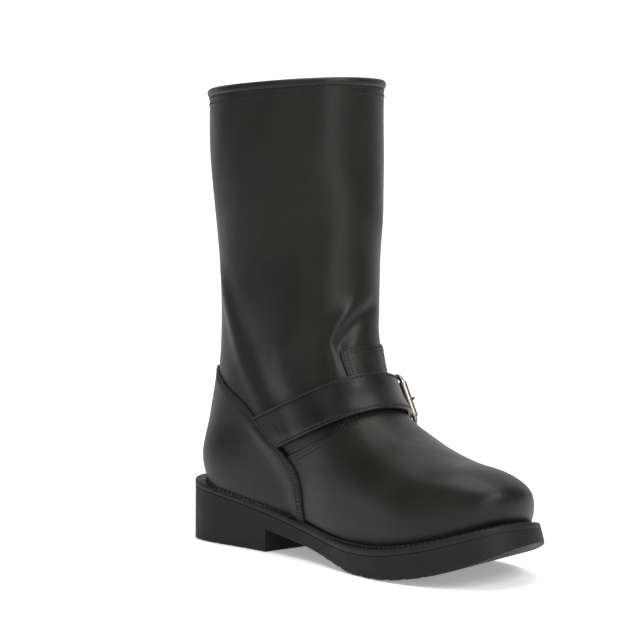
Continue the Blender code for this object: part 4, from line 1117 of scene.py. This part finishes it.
def make_strap(finish, thread, dark):
    """The instep strap: thick, with burnished round edges, a pressed line and stitches along both sides."""
    start, end_slant = sewn_end(-1)

    def shape(a):
        """Half width and slant of the strap: a pointed tip, and the sewn end along the counter's edge."""
        point = np.clip((a - STRAP_TIP + TIP_REACH) / (TIP_REACH + 0.01), 0, 1)
        slant = end_slant * (1 - smooth(-start, 0.6 - start, a))
        return STRAP_WIDTH / 2 * np.sqrt(1 - point**2.2), slant

    def top_line(a, across, more=0.0):
        """Points on the strap's upper side with their outward directions."""
        lift = (strap_lift(a) + STRAP_THICK + more)[:, None]
        place, out = strap_grid(a, across[:, None], lift, shape(a)[1])
        return place[:, 0], out

    angle = np.linspace(-start, STRAP_TIP, 240)
    half, slant = shape(angle)
    near = np.array([0.0, 0.12, 0.35, 0.7, 1.1, 1.6, 2.0, 2.4, 2.9, 3.6]) / 1000
    inner = np.linspace(0.0055, STRAP_WIDTH / 2, 6)
    top_u = np.concatenate([near, inner, STRAP_WIDTH - inner[-2::-1], STRAP_WIDTH - near[::-1]])
    inset = np.minimum(top_u, STRAP_WIDTH - top_u)
    pressed = 0.00030 * np.exp(-(((inset - STRAP_SEAM) / 0.00045) ** 2))
    high = STRAP_THICK - rounded_off(inset, 0.0011) - pressed + 0.0002 * smooth(0.002, 0.006, inset)
    low = rounded_off(inset, 0.0006)
    u = np.concatenate([top_u, top_u[::-1]]) / STRAP_WIDTH * 2 - 1
    v = np.concatenate([low, high[::-1]])
    lift = strap_lift(angle)[:, None] + v[None, :]
    rings, _ = strap_grid(angle, u[None, :] * half[:, None], lift, slant)
    tube("strap", rings, finish, ("instep_strap",), sharp=70)

    a = np.linspace(-start + 0.02, STRAP_TIP - 0.16, 300)
    for side in (-1, 1):
        stitch(*top_line(a, side * (shape(a)[0] - STRAP_SEAM)), thread)

    # the sewn end: a square of stitches and a line across
    arc = arc_length(-start + 0.1)
    near, far, wide = 0.0045, 0.0120, 0.0055
    corners = [(near, -wide), (far, -wide), (far, wide), (near, wide), (near, -wide)]
    marks = [np.linspace(p, q, 30) for p, q in zip(corners, corners[1:])]
    marks.append(np.linspace((0.0018, -0.0108), (0.0018, 0.0108), 60))
    for line in marks:
        place, out = top_line(-start + line[:, 0] / arc, line[:, 1], 0.0002)
        stitch(place, out, thread, 0.0024, 0.0017, 0.00046)

    # punched holes on the strap's end, with none where the prong stands
    turn = np.linspace(0, 2 * math.pi, 20, endpoint=False)
    points, faces = [], []
    arc = arc_length(BAR_ANGLE)
    for k in (-1, 0, 2, 3):
        a = BAR_ANGLE + (k * HOLE_PITCH - HOLE_BACK + HOLE_RADIUS * np.cos(turn)) / arc
        lift = (strap_lift(a) + STRAP_THICK + 0.0005)[:, None]
        place, out = strap_grid(a, HOLE_RADIUS * np.sin(turn)[:, None], lift, a * 0)
        place = place[:, 0]
        centre = place.mean(0)
        inner = centre + (place - centre) * 0.8 - out * 0.0001
        first = len(points)
        points += [*place, *inner, *(inner - out * 0.0012)]
        faces += grid_faces(3, 20, first, around=True).tolist()
        faces += [[first + 19 - j for j in range(20)], [first + 40 + j for j in range(20)]]
    add_piece("strap_hole_rims", points, faces, dark)


def make_buckle(finish):
    """The roller buckle: a bent wire frame, its roller, and the prong over it."""
    front, rear, along, across, out = frame_axes()
    middle, half_long = (front + rear) / 2, np.linalg.norm(rear - front) / 2
    half_wide = FRAME_WIDE / 2
    rings = []
    for k, (u, v) in enumerate([(1, 1), (-1, 1), (-1, -1), (1, -1)]):
        corner = np.array([u * (half_long - FRAME_CORNER), v * (half_wide - FRAME_CORNER)])
        for turn in np.radians(np.linspace(0, 90, 10) + 90 * k):
            way = np.array([math.cos(turn), math.sin(turn)])
            centre = corner + way * FRAME_CORNER
            outwards = way[0] * along + way[1] * across
            place = middle + centre[0] * along + centre[1] * across
            rings.append([place + outwards * c[0] - out * c[1] * 0.92 for c in circle(FRAME_WIRE, 20)])
    tube("frame_wire", rings, finish, ("buckle_frame",), closed_way=True)

    profile = []
    ends = np.linspace(-1, 1, 31)
    for end in ends:
        worn = 1 - 0.10 * max(0, abs(end) - 0.94) / 0.06
        profile.append((end, ROLLER_RADIUS * worn + 0.00006 * math.cos(end * 40)))
    profile += [(e, ROLLER_BORE) for e in ends[::-1]]
    rings = []
    for e, r in profile:
        centre = front + across * (e * ROLLER_LONG / 2)
        rings.append([centre + along * c[0] - out * c[1] for c in circle(r, 32)])
    tube("roller_tube", rings, finish, ("buckle_roller",), closed_way=True)

    rest = ROLLER_RADIUS + GAP + PRONG_RADIUS
    # from the rear bar, towards the toe | outwards | thickness
    marks = [(*(rear - along * x + out * z), thick) for x, z, thick in (
        (0.0042, 0.0004, 1.25), (0.0075, 0.0022, 1.1), (0.0115, 0.0056, 1.0), (0.0160, 0.0084, 1.0))]
    # and the same from the front bar
    marks += [(*(front - along * x + out * rest * z), thick) for x, z, thick in (
        (-0.0045, 1.15, 0.95), (0.0005, 1.0, 0.9), (0.0036, 0.80, 0.6))]
    line = smooth_line(marks, 40)
    way = unit(np.gradient(line[:, :3], axis=0))
    rings = []
    for place, w in zip(line, way):
        raised = np.cross(w, across)
        section = [across * c[0] + raised * c[1] for c in circle(PRONG_RADIUS, 16)]
        rings.append([place[:3] + c * place[3] for c in section])
    tube("prong", rings, finish, ("buckle_prong",))


def make_chape(finish):
    """The folded chape that holds the buckle, its ends at the counter's edge."""
    path, arc = chape_path()
    _, rear, along, across, out = frame_axes()
    fine = smooth_line(path, 120)
    way = unit(np.gradient(fine, axis=0))
    left = np.stack([-way[:, 1], way[:, 0]], -1) * CHAPE_THICK / 2
    half = STRAP_WIDTH / 2 - 0.001
    end_slant = sewn_end(1)[1]
    # its section, by the place across | share of half the thickness
    edge = [(half - 0.0005 + 0.0005 * math.sin(a), -math.cos(a)) for a in np.linspace(0, math.pi, 7)]
    inner = np.linspace(half - 0.003, -half + 0.003, 7)
    section = edge + [(x, 1.0) for x in inner]
    section += [(-v, s) for v, s in edge[::-1]] + [(x, -1.0) for x in inner[::-1]]
    v, s = np.array(section).T
    rings = []
    for place, side in zip(fine, left):
        u, lift = place[0] + side[0] * s, place[1] + side[1] * s
        if place[0] < LOOP_REACH:
            ring = rear + along * u[:, None] + out * (lift - BAR_LIFT)[:, None] + across * v[:, None]
        else:
            slant = -end_slant * float(smooth(0.6, 1.0, place[0] / path[0][0]))
            ring = above_boot(BAR_ANGLE + u / arc, v, lift, slant)[0]
        rings.append(ring)
    tube("chape", rings, finish, ("buckle_chape",), sharp=60)


def make_keeper(finish):
    """The loop over the strap's end."""
    arc = arc_length(KEEPER_ANGLE)
    ends = KEEPER_ANGLE + np.array([-0.5, 0, 0.5]) * KEEPER_LONG / arc
    low, top = 2 * GAP, float(strap_lift(ends).max()) + STRAP_THICK + 2 * GAP
    half, t, radius = STRAP_WIDTH / 2 + 0.0006, KEEPER_THICK, 0.0012

    def rounded(left, right, bottom, high, r):
        ring = []
        east, west, south, north = right - r, left + r, bottom + r, high - r
        for cx, cy, start in ((east, south, -90), (east, north, 0), (west, north, 90), (west, south, 180)):
            for d in np.radians(np.linspace(0, 90, 7) + start):
                ring.append((cx + r * math.cos(d), cy + r * math.sin(d)))
        return np.array(ring)

    inner = rounded(-half, half, low + t, top, radius * 0.5)
    outer = rounded(-half - t, half + t, low, top + t, radius + t * 0.5)
    rings = []
    # place along the strap | share of the way from the inner to the outer outline
    half_profile = [(0.5, 0.0), (0.5, 0.7), (0.44, 1.0), (0.2, 1.0)]
    for u, s in [(-u, s) for u, s in half_profile] + half_profile[::-1]:
        loop = inner + (outer - inner) * s
        a = np.full(len(loop), KEEPER_ANGLE + u * KEEPER_LONG / arc)
        rings.append(above_boot(a, loop[:, 0], loop[:, 1])[0])
    tube("keeper", rings, finish, ("strap_keeper",), closed_way=True, sharp=60)


# Studio

PAPER_LEVEL = -0.0003
CURVE_FROM, CURVE_RADIUS, PAPER_TOP = 1.2, 1.04, 3.2  # the paper curves up behind the boot
AIM = (0, 0, 0.14)  # what the lights point at
# Lights: name | towards the camera, to its right, height | size | power
LIGHTS = [
    ("top", (0, 0, 1.9), (1.7, 1.7), 36),
    ("key", (1.3, 1.0, 1.35), (0.6, 0.8), 22),
    ("front", (1.5, 0.42, 0.48), (0.28, 0.62), 5.0),
    ("fill", (1.2, -1.4, 0.8), (1.0, 1.2), 4),
]


def placed(name, data, x, y, z, place):
    """A new object in the scene, turned to three axes and put in its place."""
    made = bpy.data.objects.new(name, data)
    bpy.context.scene.collection.objects.link(made)
    turned = np.eye(4)
    turned[:3] = np.stack([x, y, z, place], -1)
    made.matrix_world = Matrix(turned.tolist())
    return made


def make_studio():
    """The camera, the paper that the boot stands on, the lights and the room's light."""
    a, down = CAMERA_AZIMUTH, CAMERA_DOWN
    place = SHIFT + [CAMERA_AWAY * math.sin(a), -CAMERA_AWAY * math.cos(a), CAMERA_HEIGHT]
    place[0] += CAMERA_TURNS_ROUND_X
    az = a + CAMERA_PAN
    ahead = np.array([-math.sin(az) * math.cos(down), math.cos(az) * math.cos(down), -math.sin(down)])
    away, right = np.array([-math.sin(az), math.cos(az), 0]), np.array([math.cos(az), math.sin(az), 0])
    side = right * math.cos(CAMERA_ROLL) + np.cross(right, ahead) * math.sin(CAMERA_ROLL)
    lens = bpy.data.cameras.new("camera")
    lens.lens, lens.sensor_width, lens.clip_start, lens.clip_end = CAMERA_LENS, 36, 0.05, 50
    bpy.context.scene.camera = placed("camera", lens, side, np.cross(side, ahead), -ahead, place)

    rows = [(-4.0, PAPER_LEVEL), (CURVE_FROM, PAPER_LEVEL)]
    for turn in np.linspace(0.1, math.pi / 2, 12):
        rows.append((CURVE_FROM + CURVE_RADIUS * math.sin(turn), CURVE_RADIUS * (1 - math.cos(turn))))
    rows.append((CURVE_FROM + CURVE_RADIUS, PAPER_TOP))
    points = [tuple((away * d + right * s + np.array([0, 0, z])).tolist()) for d, z in rows for s in (-4, 4)]
    floor_mesh = bpy.data.meshes.new("floor")
    quads = [[2 * i, 2 * i + 1, 2 * i + 3, 2 * i + 2] for i in range(len(rows) - 1)]
    floor_mesh.from_pydata(points, [], quads)
    floor_mesh.polygons.foreach_set("use_smooth", [True] * len(floor_mesh.polygons))
    paper = Shading("paper").finished(
        Base_Color=(0.93, 0.93, 0.94, 1),
        Roughness=0.9,
        Specular_IOR_Level=0.1,
        Emission_Color=(1.0, 1.0, 1.0, 1),
        Emission_Strength=0.30,
    )
    floor_mesh.materials.append(paper)
    floor = bpy.data.objects.new("floor", floor_mesh)
    bpy.context.scene.collection.objects.link(floor)

    for name, (near, aside, height), size, power in LIGHTS:
        data = bpy.data.lights.new(name, "AREA")
        data.shape, data.size, data.size_y, data.energy = "RECTANGLE", *size, power
        position = right * aside - away * near + np.array([0, 0, height])
        z = unit(position - np.array(AIM, float))
        x = unit(np.cross([0, 0, 1.0], z)) if abs(z[2]) < 0.99 else np.array([1.0, 0, 0])
        placed(name, data, x, np.cross(z, x), z, position)

    world = bpy.data.worlds.new("room")
    bpy.context.scene.world = world
    world.use_nodes = True
    back_light = world.node_tree.nodes["Background"]
    back_light.inputs["Color"].default_value = (1.0, 1.0, 1.0, 1)
    back_light.inputs["Strength"].default_value = 0.14
    bpy.context.scene.view_settings.view_transform = "Standard"
    bpy.context.scene.view_settings.look = "None"


def main():
    boot = leather("boot_leather_oiled", (0.0055, 0.0058, 0.0050), (0.0100, 0.0100, 0.0088), 0.44)
    fold = leather("binding_leather", (0.0075, 0.0075, 0.0070), (0.0140, 0.0140, 0.0125), 0.42)
    waxed = (0.0055, 0.0055, 0.0052), (0.0095, 0.0095, 0.0088)
    band = leather("strap_leather_waxed", *waxed, 0.36, 0.20, 0.05)
    inside = woven("lining_nap", (0.085, 0.070, 0.055), (0.130, 0.108, 0.085), 900.0)
    thread = woven("waxed_thread", (0.006, 0.006, 0.006), (0.014, 0.014, 0.013), 2500.0)
    # nearly black whip thread, darker than the other thread so that it also paints the shade of the groove
    # it lies in
    welt_thread_and_painted_groove_shade = woven("welt_thread_and_painted_groove_shade", (0.003, 0.003, 0.003), (0.008, 0.008, 0.008), 2500.0)
    sole = rubber("sole_rubber_matt", (0.0055, 0.0055, 0.0052), (0.0110, 0.0110, 0.0105))
    strip = rubber("welt_rubber", (0.0055, 0.0055, 0.0055), (0.0110, 0.0110, 0.0105), 0.55)
    board = woven("insole_hide", (0.28, 0.19, 0.12), (0.40, 0.29, 0.19), 500.0)
    steel = metal("nickel", (0.34, 0.31, 0.27), 0.30)
    dark = woven("hole_edge", (0.006, 0.006, 0.006), (0.012, 0.012, 0.012), 900.0)
    make_studio()
    form = Form()
    make_shaft(form, boot, inside)
    make_vamp(form, boot, thread)
    make_tongue(form, boot, thread)
    make_counter(form, boot, thread)
    make_backstay(form, boot, thread)
    make_collar(form, fold, thread)
    make_welt(strip, welt_thread_and_painted_groove_shade)
    make_outsole(sole)
    make_insole(board)
    make_strap(band, thread, dark)
    make_buckle(steel)
    make_chape(band)
    make_keeper(band)
    sew("seam_stitches", thread)
    sew("welt_stitches", welt_thread_and_painted_groove_shade)


random = np.random.default_rng(11)
main()
